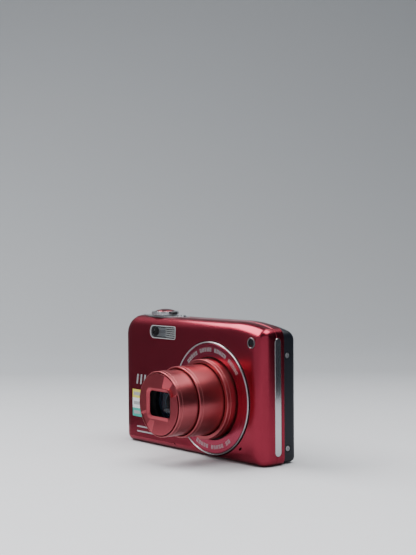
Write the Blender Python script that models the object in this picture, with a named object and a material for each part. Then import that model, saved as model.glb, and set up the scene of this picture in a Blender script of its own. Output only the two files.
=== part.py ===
"""A compact digital camera with a three-stage zoom lens, modelled as the pieces it comes apart into.

Sizes are in millimetres, and place() turns each finished shape into metres.  +X is to the right of
someone who faces the lens, the lens looks along -Y, and +Z is up.  The origin is the middle of the
face that the camera rests on.
"""

import math

import bmesh
import bpy
from mathutils import Vector

MM = 0.001

# ---- casing ----
WIDTH = 94.8
HEIGHT = 57.8
DEPTH = 19.5
HALF = WIDTH / 2
FRONT = -DEPTH / 2
BACK = DEPTH / 2
WALL = 1.2
SEAM = 0.2
FRONT_SEAM_Y = -2.4
REAR_SEAM_Y = 1.8
SHOULDER_X = 35.9
SHOULDER_SLOPE = math.radians(15)
SHOULDER_RADIUS = 60.0
CORNER_RADII = {"bottom_left": 4.0, "bottom_right": 3.0, "right": 4.6, "top_left": 6.5}
LEAST_CORNER = 1.0
FRONT_ROUNDING = {"left": 5.0, "right": 6.2, "bottom": 3.5, "top": 5.5}
REAR_ROUNDING = {"left": 2.5, "right": 2.5, "bottom": 2.5, "top": 4.0}
REAR_INSET = {"left": 1.2, "right": 1.2, "bottom": 0.4, "top": 0.4}
ROUNDING_STEPS = 4
CORNER_STEPS = 3
GAP = 0.2
FIT = 0.15
SIDE_TRIM = {"y": (-3.3, 0.06), "z": (3.9, 51.6), "deep": 0.45, "proud": 0.05, "pocket": 0.65}
EYELET = {"x": (-47.2, -43.4), "y": (-0.9, 0.5), "z": (37.6, 46.4)}
EYELET_WINDOW = {"x": (-45.9, -44.2), "z": (38.8, 45.2)}
EYELET_NOTCH = {"deep": 1.8, "y": (-1.7, 1.3), "z": (37.3, 46.7)}

# ---- front face ----
FLASH = {"x": (-27.0, -8.7), "z": (48.2, 54.0), "left_corner": 2.7, "right_corner": 1.2}
REFLECTOR = {"x": (-25.0, -10.5), "y": (-8.1, -5.3), "z": (48.9, 53.3)}
TUBE_CENTRE = (-7.1, 51.1)
CAPACITOR = {"x": (-4.0, 20.0), "centre": (-4.2, 52.7), "radius": 3.2}
LAMP = (40.1, 49.7)
LAMP_RADIUS = 2.2
MICROPHONE = ((32.9, 5.9), (33.8, 6.5), 0.35)

# ---- lens ----
LENS_X = 15.4
LENS_Z = 25.2
LENS = (LENS_X, LENS_Z)
ROUND = 28
ROUND_LARGE = 36
BOSS_RADIUS = 24.3
BOSS_FACE = -10.4
SKIRT_RADIUS = 28.5
RECESS_RADIUS = 23.95
RECESS_FLOOR = -9.3
BOSS_BORE = 21.9
HOUSING_RADIUS = 21.4
HOUSING_BORE = 19.3
HOUSING_FRONT = -9.1
HOUSING_BACK = 5.4
REAR_WALL = 0.8
LIGHT_LIP = 17.4
BARREL_RADII = {"outer": (16.7, 15.0), "middle": (14.6, 13.8), "front": (13.4, 12.8)}
BARREL_FRONTS = {"outer": -15.24, "middle": -27.76, "front": -37.4}
BARREL_LENGTHS = {"outer": 13.5, "middle": 14.5, "front": 13.1}
BARREL_CHAMFER = 0.3
FACE_Y = -37.8
BEZEL_RADIUS = 12.5
BEZEL_THICK = 1.1
RING_PLATE_BACK = -9.55
RING_PLATE_RADIUS = 22.9
OPENING_HALF_WIDTH = 6.7
OPENING_HALF_HEIGHT = 5.15
OPENING_CORNER = 1.8
OPENING_FLARE = 1.1
BLADE_PIVOT = 11.2
BLADE_RADIUS = 12.3
BLADE_CHORD = 5.4
BLADE_THICK = 0.25
BLADE_UPPER_Y = -36.35
BLADE_LOWER_Y = -35.95
PIVOT_PIN_RADIUS = 0.45
GUIDE_REACH = 8.6
GUIDE_RADIUS = 0.6

# ---- zoom gears ----
MODULE = 0.6
RING_TEETH = 62
IDLER_TEETH = 12
MOTOR_TEETH = 8
RING_TOOTHED_ARC = 160
ADDENDUM = 0.5
DEDENDUM = 0.7
IDLER_DIRECTION = math.radians(-38)
MOTOR_DIRECTION = math.radians(-20)
GEAR_Y = (1.5, 3.9)
SHAFT_RADIUS = 0.8
SHAFT_BORE = 0.9

# ---- battery side ----
BATTERY = {"x": (-42.0, -11.0), "y": (-7.6, -1.8), "z": (3.6, 43.1)}
CARD = {"x": (-38.5, -14.5), "y": (-1.0, 1.1), "z": (3.6, 35.6)}
HOLDER = {"x": (-42.7, -10.3), "y": (-8.1, 1.7), "z": (3.3, 44.0)}
DOOR_TOP = 2.85
DOOR_AXIS = (-11.1, 1.45)
DOOR_END_RADIUS = 1.4
DOOR_SLIDE = 2.0
PIN_RADIUS = 0.5
PIN_FRONT = -7.0
EAR = {"x": (-15.2, -9.2), "y": (-0.1, 1.75)}

# ---- controls ----
BUTTON_AXIS = (-25.7, -2.0)
PLATE_CENTRE = (-25.0, -2.0)
PLATE_HALF_LENGTH = 17.0
PLATE_HALF_WIDTH = 5.2
PLATE_FLOOR = 57.2
PLATE_TOP = 57.95
PLATE_MARGIN = 0.25
POWER_AXIS = (-13.6, -2.0)
BUTTON_STEM_HOLE = 2.1
POWER_STEM_HOLE = 1.6
ZOOM_RING = {"outer": 6.15, "inner": 4.75, "top": 59.9, "tab": (4.9, 7.0), "tab_half": 1.6}
SELECTOR = (-32.0, 25.0)
SELECTOR_RADIUS = 8.5
LCD = {"x": (-15.0, 42.2), "y": (6.4, 8.3), "z": (8.2, 50.6)}
LCD_WINDOW = {"x": (-16.6, 42.8), "y": (8.95, 9.7), "z": (7.0, 51.6)}
LCD_CORNER = 1.5
LCD_OPENING = {"x": (-13.6, 41.0), "z": (9.4, 49.4)}
USB_FLAP = {"y": (3.2, 7.0), "z": (12.2, 23.8), "thick": 1.0}

# ---- fasteners ----
SCREW = {"head": 1.15, "head_high": 0.5, "shank": 0.6, "long": 2.8}
SIDE_SCREW_Y = 4.9
RIGHT_SCREWS_Z = {"upper": 44.2, "lower": 6.34}
LEFT_SCREWS_Z = {"upper": 50.3, "lower": 6.34}
BASE_SCREWS_X = {"left": 8.0, "right": 34.0}
BASE_SCREW_Y = 5.4
TRIPOD = (-4.4, 3.4)
TRIPOD_BORE = 3.175
TRIPOD_RADIUS = 4.2
TRIPOD_FLANGE = 4.65

RED = ((0.30, 0.022, 0.035), 0.9, 0.32)
BLACK = ((0.012, 0.013, 0.016), 0.0, 0.45)
CHROME = ((0.75, 0.76, 0.78), 1.0, 0.12)
STEEL = ((0.45, 0.46, 0.48), 1.0, 0.35)
BRASS = ((0.60, 0.42, 0.16), 1.0, 0.35)
GLASS = ((0.55, 0.62, 0.68), 0.0, 0.05)
CLEAR = ((0.85, 0.87, 0.88), 0.0, 0.08)
GREY = ((0.16, 0.17, 0.18), 0.0, 0.5)
GREEN = ((0.02, 0.13, 0.06), 0.0, 0.5)
BLUE = ((0.03, 0.08, 0.25), 0.0, 0.45)


# ---------------------------------------------------------------- shape tools

def spot(axis, first, second, height):
    """A point from its two flat coordinates and its height along an axis."""
    if axis == "X":
        return (height, first, second)
    if axis == "Y":
        return (first, height, second)
    return (first, second, height)


def skin(shape, near, far):
    """Faces between two rings of vertices, either of which may be a single point."""
    count = max(len(near), len(far))
    for i in range(count):
        j = (i + 1) % count
        corners = [near[i % len(near)], near[j % len(near)], far[j % len(far)], far[i % len(far)]]
        unique = list(dict.fromkeys(corners))
        if len(unique) > 2:
            shape.faces.new(unique)


def stack(rings, joined=False):
    """A solid through a run of equal rings: capped at both ends, or joined end to start."""
    shape = bmesh.new()
    rows = [[shape.verts.new(point) for point in ring] for ring in rings]
    for near, far in zip(rows, rows[1:]):
        skin(shape, near, far)
    if joined:
        skin(shape, rows[-1], rows[0])
    else:
        shape.faces.new(rows[0])
        shape.faces.new(rows[-1])
    bmesh.ops.recalc_face_normals(shape, faces=shape.faces)
    return shape


def prism(outline, low, high, axis):
    """An outline of (first, second) points, extruded along an axis."""
    return stack([[spot(axis, a, b, height) for a, b in outline] for height in (low, high)])


def box(x, y, z):
    """A block between three pairs of limits."""
    return prism([(x[0], y[0]), (x[1], y[0]), (x[1], y[1]), (x[0], y[1])], z[0], z[1], "Z")


def turned(profile, centre, axis, segments=ROUND):
    """A closed profile of (radius, height) points, revolved about an axis through centre."""
    shape = bmesh.new()
    rows = []
    for radius, height in profile:
        count = segments if radius > 0 else 1
        turns = [math.tau * k / segments for k in range(count)]
        rows.append([shape.verts.new(spot(axis, centre[0] + radius * math.cos(turn),
                                          centre[1] + radius * math.sin(turn), height))
                     for turn in turns])
    for near, far in zip(rows, rows[1:] + rows[:1]):
        skin(shape, near, far)
    bmesh.ops.recalc_face_normals(shape, faces=shape.faces)
    return shape


def rod(radius, low, high, centre, axis, segments=16):
    """A plain round bar."""
    return turned([(0, low), (radius, low), (radius, high), (0, high)], centre, axis, segments)


def tube(outer, inner, low, high, centre, axis, segments=ROUND):
    """A plain round tube."""
    profile = [(inner, low), (outer, low), (outer, high), (inner, high)]
    return turned(profile, centre, axis, segments)


def arc(centre, radius, start, end, steps):
    """Points along an arc, given in degrees."""
    turns = [math.radians(start + (end - start) * k / steps) for k in range(steps + 1)]
    return [(centre[0] + radius * math.cos(t), centre[1] + radius * math.sin(t)) for t in turns]


def rounded(corners, steps=CORNER_STEPS):
    """An anticlockwise outline of (first, second, radius) corners, each turned into an arc."""
    outline = []
    for i, (a, b, radius) in enumerate(corners):
        here = Vector((a, b))
        back = (Vector(corners[i - 1][:2]) - here).normalized()
        ahead = (Vector(corners[(i + 1) % len(corners)][:2]) - here).normalized()
        half = back.angle(ahead) / 2
        centre = here + (back + ahead).normalized() * (radius / math.sin(half))
        first = here + back * (radius / math.tan(half)) - centre
        turn = math.pi - 2 * half
        for k in range(steps + 1):
            angle = turn * k / steps
            outline.append((centre.x + first.x * math.cos(angle) - first.y * math.sin(angle),
                            centre.y + first.x * math.sin(angle) + first.y * math.cos(angle)))
    return outline


def rounded_box(first, second, radius, steps=CORNER_STEPS):
    """A rectangle outline with rounded corners, between two pairs of limits."""
    return rounded([(first[0], second[0], radius), (first[1], second[0], radius),
                    (first[1], second[1], radius), (first[0], second[1], radius)], steps)


def capsule(start, end, radius, steps=8):
    """The outline of a slot with round ends, between two centres."""
    lean = math.degrees(math.atan2(end[1] - start[1], end[0] - start[0]))
    return arc(end, radius, lean - 90, lean + 90, steps) + arc(start, radius, lean + 90, lean + 270, steps)


def grown(limits, amount):
    """A pair of limits moved apart by amount at each end."""
    return (limits[0] - amount, limits[1] + amount)


def place(name, shape, finish, pivot=(0, 0, 0), edits=()):
    """Make one piece in metres, with its origin on pivot, its own material and its Booleans."""
    body = make_object(name, shape, pivot)
    colour, metallic, roughness = finish
    material = bpy.data.materials.new(name)
    material.use_nodes = True
    shader = material.node_tree.nodes["Principled BSDF"]
    shader.inputs["Base Color"].default_value = (*colour, 1)
    shader.inputs["Metallic"].default_value = metallic
    shader.inputs["Roughness"].default_value = roughness
    body.data.materials.append(material)
    for number, (operation, tool) in enumerate(edits):
        helper = make_object(f"{name}_{operation.lower()}_{number}", tool, pivot)
        helper.hide_render = True
        helper.display_type = "WIRE"
        boolean = body.modifiers.new(helper.name, "BOOLEAN")
        boolean.operation = operation
        boolean.object = helper
    return body


def join(*tools):
    """Edits that add shapes to a piece."""
    return [("UNION", tool) for tool in tools]


def cut(*tools):
    """Edits that cut shapes out of a piece."""
    return [("DIFFERENCE", tool) for tool in tools]


def combined(first, second, operation):
    """Two shapes in millimetres combined into one."""
    body = make_object("first", first, (0, 0, 0))
    tool = make_object("second", second, (0, 0, 0))
    boolean = body.modifiers.new("combine", "BOOLEAN")
    boolean.operation = operation
    boolean.object = tool
    graph = bpy.context.evaluated_depsgraph_get()
    shape = bmesh.new()
    shape.from_object(body, graph)
    for vertex in shape.verts:
        vertex.co /= MM
    for spent in (body, tool):
        bpy.data.objects.remove(spent)
    return shape


def make_object(name, shape, pivot):
    """Turn a shape in millimetres into an object in metres whose origin is on pivot."""
    corner = Vector(pivot)
    for vertex in shape.verts:
        vertex.co = (vertex.co - corner) * MM
    mesh = bpy.data.meshes.new(name)
    shape.to_mesh(mesh)
    shape.free()
    mesh.shade_smooth()
    mesh.set_sharp_from_angle(angle=math.radians(35))
    body = bpy.data.objects.new(name, mesh)
    body.location = corner * MM
    bpy.context.scene.collection.objects.link(body)
    return body


# ---------------------------------------------------------------- casing

def casing_outline(inset):
    """The casing seen from the front, with each side moved in by its own inset."""
    left = -HALF + inset["left"]
    right = HALF - inset["right"]
    low = inset["bottom"]
    top = HEIGHT - inset["top"]
    shoulder = SHOULDER_X - inset["right"]
    drop = (right - shoulder) * math.tan(SHOULDER_SLOPE)
    sides = {"bottom_left": ("left", "bottom"), "bottom_right": ("right", "bottom"),
             "right": ("right", "top"), "top_left": ("left", "top")}
    radius = {corner: max(CORNER_RADII[corner] - (inset[a] + inset[b]) / 2, LEAST_CORNER)
              for corner, (a, b) in sides.items()}
    return rounded([(left, low, radius["bottom_left"]), (right, low, radius["bottom_right"]),
                    (right, top - drop, radius["right"]), (shoulder, top, SHOULDER_RADIUS),
                    (left, top, radius["top_left"])])


def casing_rings(face_y, seam_y, rounding, base_inset, wall):
    """Outlines from the seam to the rounded outer face, each wall further in than the casing."""
    inward = 1 if face_y < seam_y else -1
    deepest = max(rounding.values()) - wall
    rings = [casing_ring(seam_y, {side: base_inset[side] + wall for side in rounding})]
    for step in reversed(range(ROUNDING_STEPS + 1)):
        depth = deepest * (1 - math.cos(math.pi / 2 * step / ROUNDING_STEPS))
        inset = {}
        for side, radius in rounding.items():
            bend = radius - wall
            short = max(bend - depth, 0)
            inset[side] = base_inset[side] + wall + bend - math.sqrt(bend * bend - short * short)
        rings.append(casing_ring(face_y + inward * (wall + depth), inset))
    return rings


def casing_ring(y, inset):
    """One outline of the casing, at y."""
    return [spot("Y", x, z, y) for x, z in casing_outline(inset)]


def cup(face_y, seam_y, rounding, base_inset):
    """A casing half: a face with rounded edges and walls that run to the seam."""
    outer = casing_rings(face_y, seam_y, rounding, base_inset, 0)
    inner = casing_rings(face_y, seam_y, rounding, base_inset, WALL)
    return stack(list(reversed(inner)) + outer)


FLUSH = {"left": 0, "right": 0, "bottom": 0, "top": 0}
SLIM = {side: 0.6 for side in FLUSH}


def lens_boss():
    """The raised ring around the lens with its recess, bore and sloping skirt, cut to the casing."""
    profile = [(BOSS_BORE, RECESS_FLOOR), (RECESS_RADIUS, RECESS_FLOOR), (RECESS_RADIUS, BOSS_FACE),
               (BOSS_RADIUS, BOSS_FACE), (BOSS_RADIUS + 1.2, BOSS_FACE + 0.34),
               (BOSS_RADIUS + 2.7, BOSS_FACE + 0.54), (SKIRT_RADIUS, FRONT - 0.03),
               (SKIRT_RADIUS, FRONT + 0.6), (BOSS_RADIUS, FRONT + 0.6), (BOSS_RADIUS, FRONT + 2.3),
               (BOSS_BORE, FRONT + 2.3)]
    outline = prism(casing_outline(SLIM), -14, 0, "Y")
    ring = combined(turned(profile, LENS, "Y", ROUND_LARGE), outline, "INTERSECT")
    return combined(ring, microphone_slot(0), "DIFFERENCE")


def microphone_slot(margin):
    """The small slot in front of the microphone, low on the skirt around the lens."""
    start, end, radius = MICROPHONE
    return prism(capsule(start, end, radius + margin, 4), -12, -8, "Y")


def plate_pocket(margin, low, high):
    """The pointed oval of the control plate, seen from above."""
    width = PLATE_HALF_WIDTH + margin
    length = PLATE_HALF_LENGTH + margin
    radius = (length ** 2 + width ** 2) / (2 * width)
    half = math.degrees(math.asin(length / radius))
    x, y = PLATE_CENTRE
    rear = arc((x, y + width - radius), radius, 90 - half, 90 + half, 12)
    front = arc((x, y - width + radius), radius, 270 - half, 270 + half, 12)
    return prism(rear[:-1] + front[:-1], low, high, "Z")


def trim_capsule(margin, low_x, high_x):
    """The upright slot of the side trim, seen from the right."""
    (near, far), (low, high) = SIDE_TRIM["y"], SIDE_TRIM["z"]
    middle = (near + far) / 2
    half_width = (far - near) / 2
    outline = capsule((middle, low + half_width), (middle, high - half_width), half_width + margin)
    return prism(outline, low_x, high_x, "X")


def trim_pocket():
    """The slot cut for the side trim, across the seam between cover and frame."""
    return trim_capsule(FIT, HALF - SIDE_TRIM["pocket"], HALF + 1)


def door_zone(margin):
    """What the battery door takes out of the casing, seen from the front."""
    x, z = DOOR_AXIS
    end = arc((x, z), DOOR_END_RADIUS + margin, -90, 90, 8)
    outline = [(-HALF - 1, -1), (x, -1)] + end + [(-HALF - 1, DOOR_TOP + margin)]
    return prism(outline, FRONT - 1, REAR_SEAM_Y - 0.05 + margin, "Y")


def top_openings():
    """The control plate's pocket in the top, and the holes for the two button stems."""
    stems = [rod(radius, HEIGHT - 4, HEIGHT + 1, axis, "Z")
             for axis, radius in ((BUTTON_AXIS, BUTTON_STEM_HOLE), (POWER_AXIS, POWER_STEM_HOLE))]
    return [plate_pocket(PLATE_MARGIN, PLATE_FLOOR, HEIGHT + 2)] + stems


def eyelet_pocket():
    """The notch in the left side that leaves room for a cord."""
    return box((-HALF - 1, -HALF + EYELET_NOTCH["deep"]), EYELET_NOTCH["y"], EYELET_NOTCH["z"])


def tripod_hole():
    """The round opening for the tripod socket, across the seam."""
    return rod(TRIPOD_RADIUS + 0.3, -1, 3, TRIPOD, "Z", 24)


def door_opening():
    """The casing is cut square beside the hinge, so the round end of the door can turn."""
    x = (-HALF - 1, DOOR_AXIS[0] + DOOR_END_RADIUS + GAP)
    return box(x, (FRONT - 1, REAR_SEAM_Y + 1), (-1, DOOR_TOP + GAP))


def make_front_cover():
    """The painted front shell with its lens opening, window openings and control pocket."""
    through = (-12, -8)
    openings = [prism(flash_outline(FIT), *through, "Y"),
                rod(LAMP_RADIUS + FIT, *through, LAMP, "Y", 24),
                microphone_slot(0.1),
                *top_openings(), trim_pocket(), door_opening()]
    shell = combined(cup(FRONT, FRONT_SEAM_Y, FRONT_ROUNDING, FLUSH),
                     rod(RECESS_RADIUS + FIT, -12, -4, LENS, "Y", ROUND_LARGE), "DIFFERENCE")
    place("front_cover", shell, RED, edits=cut(*openings) + join(lens_boss()))


def side_ear(side, z):
    """The bracket inside the side wall that a side screw bites into."""
    reach = sorted((side * 46.5, side * 43.0))
    inside = sorted((side * 44.7, side * 43.0))
    return [box(reach, (-1.8, 1.5), grown((z, z), 2.4)), box(inside, (1.0, 7.0), grown((z, z), 2.4))]


def base_ear(x):
    """The bracket inside the bottom wall that a bottom screw bites into."""
    width = grown((x, x), 2.4)
    return [box(width, (-1.8, 1.5), (0.8, 4.2)), box(width, (1.0, 7.4), (1.9, 4.2))]


def screw_places():
    """Every casing screw: its name, its axis, its centre and its outer face with its direction."""
    outer = HALF - REAR_INSET["right"]
    places = []
    for side, sign, heights in (("right", 1, RIGHT_SCREWS_Z), ("left", -1, LEFT_SCREWS_Z)):
        for level, z in heights.items():
            name = f"rear_screw_{side}_{level}"
            places.append((name, "X", (SIDE_SCREW_Y, z), sign * outer, -sign))
    for side, x in BASE_SCREWS_X.items():
        places.append((f"base_screw_{side}", "Z", (x, BASE_SCREW_Y), REAR_INSET["bottom"], 1))
    return places


def make_middle_frame():
    """The metal band between the two covers, with the brackets for the screws and the door pin."""
    band = stack([casing_ring(FRONT_SEAM_Y + SEAM, FLUSH), casing_ring(REAR_SEAM_Y, FLUSH),
                  casing_ring(REAR_SEAM_Y, {side: WALL for side in FLUSH}),
                  casing_ring(FRONT_SEAM_Y + SEAM, {side: WALL for side in FLUSH})], joined=True)
    ears = []
    for sign, heights in ((1, RIGHT_SCREWS_Z), (-1, LEFT_SCREWS_Z)):
        for z in heights.values():
            ears += side_ear(sign, z)
    for x in BASE_SCREWS_X.values():
        ears += base_ear(x)
    ears.append(box(EAR["x"], EAR["y"], (0.6, DOOR_TOP)))
    openings = [rod(SCREW["shank"] + 0.1, *sorted((face + inward, face + 3.3 * inward)), centre, axis, 8)
                for _, axis, centre, face, inward in screw_places()]
    openings += [*top_openings(), trim_pocket(), eyelet_pocket(), tripod_hole(), *frame_door_openings()]
    x, z = DOOR_AXIS
    slot = prism(capsule((x - DOOR_SLIDE, z), (x, z), PIN_RADIUS + 0.12, 6), -3, 2.5, "Y")
    place("middle_frame", band, RED, edits=join(*ears) + cut(*openings, slot))


def frame_door_openings():
    """The door's opening in the band, which leaves the ear that carries the door's pin."""
    height = (-1, DOOR_TOP + GAP)
    beside_ear = box((-HALF - 1, EAR["x"][0]), (FRONT_SEAM_Y, REAR_SEAM_Y + 1), height)
    before_ear = box((-HALF - 1, DOOR_AXIS[0] + DOOR_END_RADIUS + GAP), (FRONT_SEAM_Y, EAR["y"][0]), height)
    return [beside_ear, before_ear]


def make_rear_cover():
    """The black rear shell with its openings for the screen, buttons, screws and connector."""
    recess = rounded_box(grown(LCD_WINDOW["x"], FIT), grown(LCD_WINDOW["z"], FIT), LCD_CORNER)
    through = (7, BACK + 1)
    cuts = [prism(recess, LCD_WINDOW["y"][0] - FIT, BACK + 1, "Y"),
            box(LCD_OPENING["x"], through, LCD_OPENING["z"]),
            rod(SELECTOR_RADIUS + 0.4, *through, SELECTOR, "Y", 24),
            plate_pocket(PLATE_MARGIN, PLATE_FLOOR, HEIGHT + 2), tripod_hole(),
            box((-HALF, -43.5), grown(USB_FLAP["y"], GAP), grown(USB_FLAP["z"], GAP))]
    cuts += [prism(outline(0.25), *through, "Y") for _, outline in rear_buttons()]
    cuts += [screw_sink(axis, centre, face, inward) for _, axis, centre, face, inward in screw_places()]
    shell = cup(BACK, REAR_SEAM_Y + SEAM, REAR_ROUNDING, REAR_INSET)
    place("rear_cover", shell, BLACK, edits=cut(*cuts))


def screw_sink(axis, centre, face, inward):
    """The stepped hole that takes a screw's head and its shank."""
    head = SCREW["head"] + 0.15
    shank = SCREW["shank"] + 0.15
    profile = [(0, -1), (head, -1), (head, 0.65), (shank, 0.65), (shank, 2.0), (0, 2.0)]
    return turned([(radius, face + inward * depth) for radius, depth in profile], centre, axis, 8)


def make_screws():
    """The six casing screws, each with a slot across its head."""
    for name, axis, centre, face, inward in screw_places():
        top = face + inward * 0.1
        seat = top + inward * SCREW["head_high"]
        tip = top + inward * SCREW["long"]
        profile = [(0, top), (SCREW["head"], top), (SCREW["head"], seat), (SCREW["shank"], seat),
                   (SCREW["shank"], tip), (0, tip)]
        slot = grown((top, top), 0.22)
        wide = [grown((centre[0], centre[0]), 0.15), grown((centre[1], centre[1]), 0.8)]
        groove = box(slot, wide[0], wide[1]) if axis == "X" else box(wide[0], wide[1], slot)
        place(name, turned(profile, centre, axis, 10), STEEL, edits=cut(groove))


def make_casing_trim():
    """The bright strip on the right, the strap eyelet and the tripod socket."""
    strip = trim_capsule(0, HALF - SIDE_TRIM["deep"], HALF + SIDE_TRIM["proud"])
    place("side_trim", strip, CHROME)
    eyelet = box(EYELET["x"], EYELET["y"], EYELET["z"])
    window = box(EYELET_WINDOW["x"], grown(EYELET["y"], 1), EYELET_WINDOW["z"])
    place("strap_eyelet", eyelet, CHROME, edits=cut(window))
    profile = [(TRIPOD_BORE, 0.05), (TRIPOD_RADIUS, 0.05), (TRIPOD_RADIUS, 2.4),
               (TRIPOD_FLANGE, 2.4), (TRIPOD_FLANGE, 6.5), (TRIPOD_BORE, 6.5)]
    place("tripod_socket", turned(profile, TRIPOD, "Z", 24), STEEL)


# ---------------------------------------------------------------- front face

def flash_outline(margin):
    """The flash window from the front: its left end is round and its right end is squarer."""
    left, right = grown(FLASH["x"], margin)
    low, high = grown(FLASH["z"], margin)
    left_corner, right_corner = FLASH["left_corner"], FLASH["right_corner"]
    return rounded([(left, low, left_corner), (right, low, right_corner),
                    (right, high, right_corner), (left, high, left_corner)])


def make_flash():
    """The flash: its window, reflector trough, tube and storage capacitor."""
    place("flash_window", prism(flash_outline(0), FRONT - 0.05, FRONT + 1.35, "Y"), CLEAR)
    (near, far), (low, high) = REFLECTOR["y"], REFLECTOR["z"]
    trough = arc((near - 0.2, TUBE_CENTRE[1]), 2.3, 50, -50, 8)
    outline = [(near, low), (far, low), (far, high), (near, high)] + trough
    place("flash_reflector", prism(outline, *REFLECTOR["x"], "X"), CHROME)
    place("flash_tube", rod(0.6, *grown(REFLECTOR["x"], -1), TUBE_CENTRE, "X", 12), CLEAR)
    capacitor = rod(CAPACITOR["radius"], *CAPACITOR["x"], CAPACITOR["centre"], "X", 20)
    place("flash_capacitor", capacitor, BLACK)


def make_front_trim():
    """The ring plate around the lens, its bright edge and the focus lamp's window."""
    plate = [(LIGHT_LIP, RING_PLATE_BACK), (LIGHT_LIP, BOSS_FACE), (RING_PLATE_RADIUS, BOSS_FACE),
             (RING_PLATE_RADIUS, RING_PLATE_BACK)]
    place("lens_ring_plate", turned(plate, LENS, "Y", ROUND_LARGE), RED)
    inner, outer = RING_PLATE_RADIUS + GAP, RECESS_RADIUS - FIT
    crest = BOSS_FACE - FIT
    trim = [(inner, RING_PLATE_BACK), (inner, BOSS_FACE), (inner + GAP, crest), (outer - GAP, crest),
            (outer, BOSS_FACE), (outer, RING_PLATE_BACK)]
    place("lens_ring_trim", turned(trim, LENS, "Y", ROUND_LARGE), CHROME)
    lamp = [(0, -9.7), (1.5, -9.8), (LAMP_RADIUS, -9.65), (LAMP_RADIUS, -8.4), (0, -8.4)]
    place("af_lamp_window", turned(lamp, LAMP, "Y", 24), GLASS)


# ---------------------------------------------------------------- lens

def tooth_outline(teeth, first_tooth, arc_degrees=360):
    """A gear's outline about (0, 0): teeth at equal steps, only within arc_degrees of the first."""
    pitch = math.tau / teeth
    radius = MODULE * teeth / 2
    root, tip = radius - DEDENDUM, radius + ADDENDUM
    outline = []
    for tooth in range(-(teeth // 2), teeth - teeth // 2):
        centre = first_tooth + tooth * pitch
        if abs(math.degrees(tooth * pitch)) > arc_degrees / 2:
            outline.append((root * math.cos(centre), root * math.sin(centre)))
            continue
        for r, share in ((root, -0.23), (tip, -0.06), (tip, 0.06), (root, 0.23)):
            turn = centre + share * pitch
            outline.append((r * math.cos(turn), r * math.sin(turn)))
    return outline


def gear_layout():
    """The centres of the idler and motor gears and the angle of one tooth on each."""
    idler_reach = MODULE * (RING_TEETH + IDLER_TEETH) / 2
    motor_reach = MODULE * (IDLER_TEETH + MOTOR_TEETH) / 2
    idler = (LENS_X + idler_reach * math.cos(IDLER_DIRECTION),
             LENS_Z + idler_reach * math.sin(IDLER_DIRECTION))
    motor = (idler[0] + motor_reach * math.cos(MOTOR_DIRECTION),
             idler[1] + motor_reach * math.sin(MOTOR_DIRECTION))
    idler_pitch = math.tau / IDLER_TEETH
    idler_tooth = IDLER_DIRECTION + math.pi + idler_pitch / 2
    off_line = (idler_tooth - MOTOR_DIRECTION) % idler_pitch
    motor_gap = MOTOR_DIRECTION + math.pi - off_line * IDLER_TEETH / MOTOR_TEETH
    motor_tooth = motor_gap + math.pi / MOTOR_TEETH
    return idler, motor, idler_tooth, motor_tooth


def shifted(outline, centre):
    """An outline moved to centre."""
    return [(a + centre[0], b + centre[1]) for a, b in outline]


def make_zoom_drive():
    """The cam ring that draws the barrels in and out, and the motor and gears that turn it."""
    idler, motor, idler_tooth, motor_tooth = gear_layout()
    band = prism(shifted(tooth_outline(RING_TEETH, IDLER_DIRECTION, RING_TOOTHED_ARC), LENS),
                 GEAR_Y[0], GEAR_Y[1], "Y")
    bore = rod(17.45, GEAR_Y[0] - 1, GEAR_Y[1] + 1, LENS, "Y", ROUND)
    ring = tube(17.75, 17.05, -8.0, 4.2, LENS, "Y")
    ring_pivot = (LENS_X, 0, LENS_Z)
    toothed = combined(band, bore, "DIFFERENCE")
    place("cam_ring", ring, BRASS, ring_pivot, join(toothed))
    for name, centre, teeth, first, low in (("idler_gear", idler, IDLER_TEETH, idler_tooth, 0.6),
                                            ("motor_gear", motor, MOTOR_TEETH, motor_tooth, -4.8)):
        gear = prism(shifted(tooth_outline(teeth, first), centre), GEAR_Y[0], GEAR_Y[1], "Y")
        shaft = rod(SHAFT_RADIUS, low, 5.2, centre, "Y", 12)
        place(name, gear, BRASS, (centre[0], 0, centre[1]), join(shaft))
    case = turned([(0, -7.0), (4.0, -7.0), (4.0, 1.2), (SHAFT_BORE, 1.2), (SHAFT_BORE, -5.0), (0, -5.0)],
                  motor, "Y", 20)
    place("zoom_motor", case, STEEL)


def make_lens_housing():
    """The fixed black tube that holds the zoom, with the bracket that carries the gears."""
    idler, motor, _, _ = gear_layout()
    profile = [(LIGHT_LIP, HOUSING_FRONT), (HOUSING_RADIUS, HOUSING_FRONT),
               (HOUSING_RADIUS, HOUSING_BACK), (7.5, HOUSING_BACK),
               (7.5, HOUSING_BACK - REAR_WALL), (HOUSING_BORE, HOUSING_BACK - REAR_WALL),
               (HOUSING_BORE, HOUSING_FRONT + 0.6), (LIGHT_LIP, HOUSING_FRONT + 0.6)]
    bracket = prism(capsule(idler, motor, 4.0), HOUSING_BACK - REAR_WALL, HOUSING_BACK - 0.05, "Y")
    window = turned([(0, GEAR_Y[0] - 0.4), (4.6, GEAR_Y[0] - 0.4), (4.6, GEAR_Y[1] + 0.4),
                     (SHAFT_BORE, GEAR_Y[1] + 0.4), (SHAFT_BORE, 6), (0, 6)], idler, "Y", 20)
    bearing = rod(SHAFT_BORE, 4, 6, motor, "Y", 12)
    guides = [rod(GUIDE_RADIUS, -0.7, HOUSING_BACK - REAR_WALL / 2, guide, "Y", 12)
              for guide in guide_places()]
    place("lens_housing", turned(profile, LENS, "Y", ROUND_LARGE), BLACK,
          edits=join(bracket, *guides) + cut(window, bearing))


def guide_places():
    """The two guide rods that the focus cell slides on, either side of the lens axis."""
    return [(LENS_X + side * GUIDE_REACH, LENS_Z) for side in (1, -1)]


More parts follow.
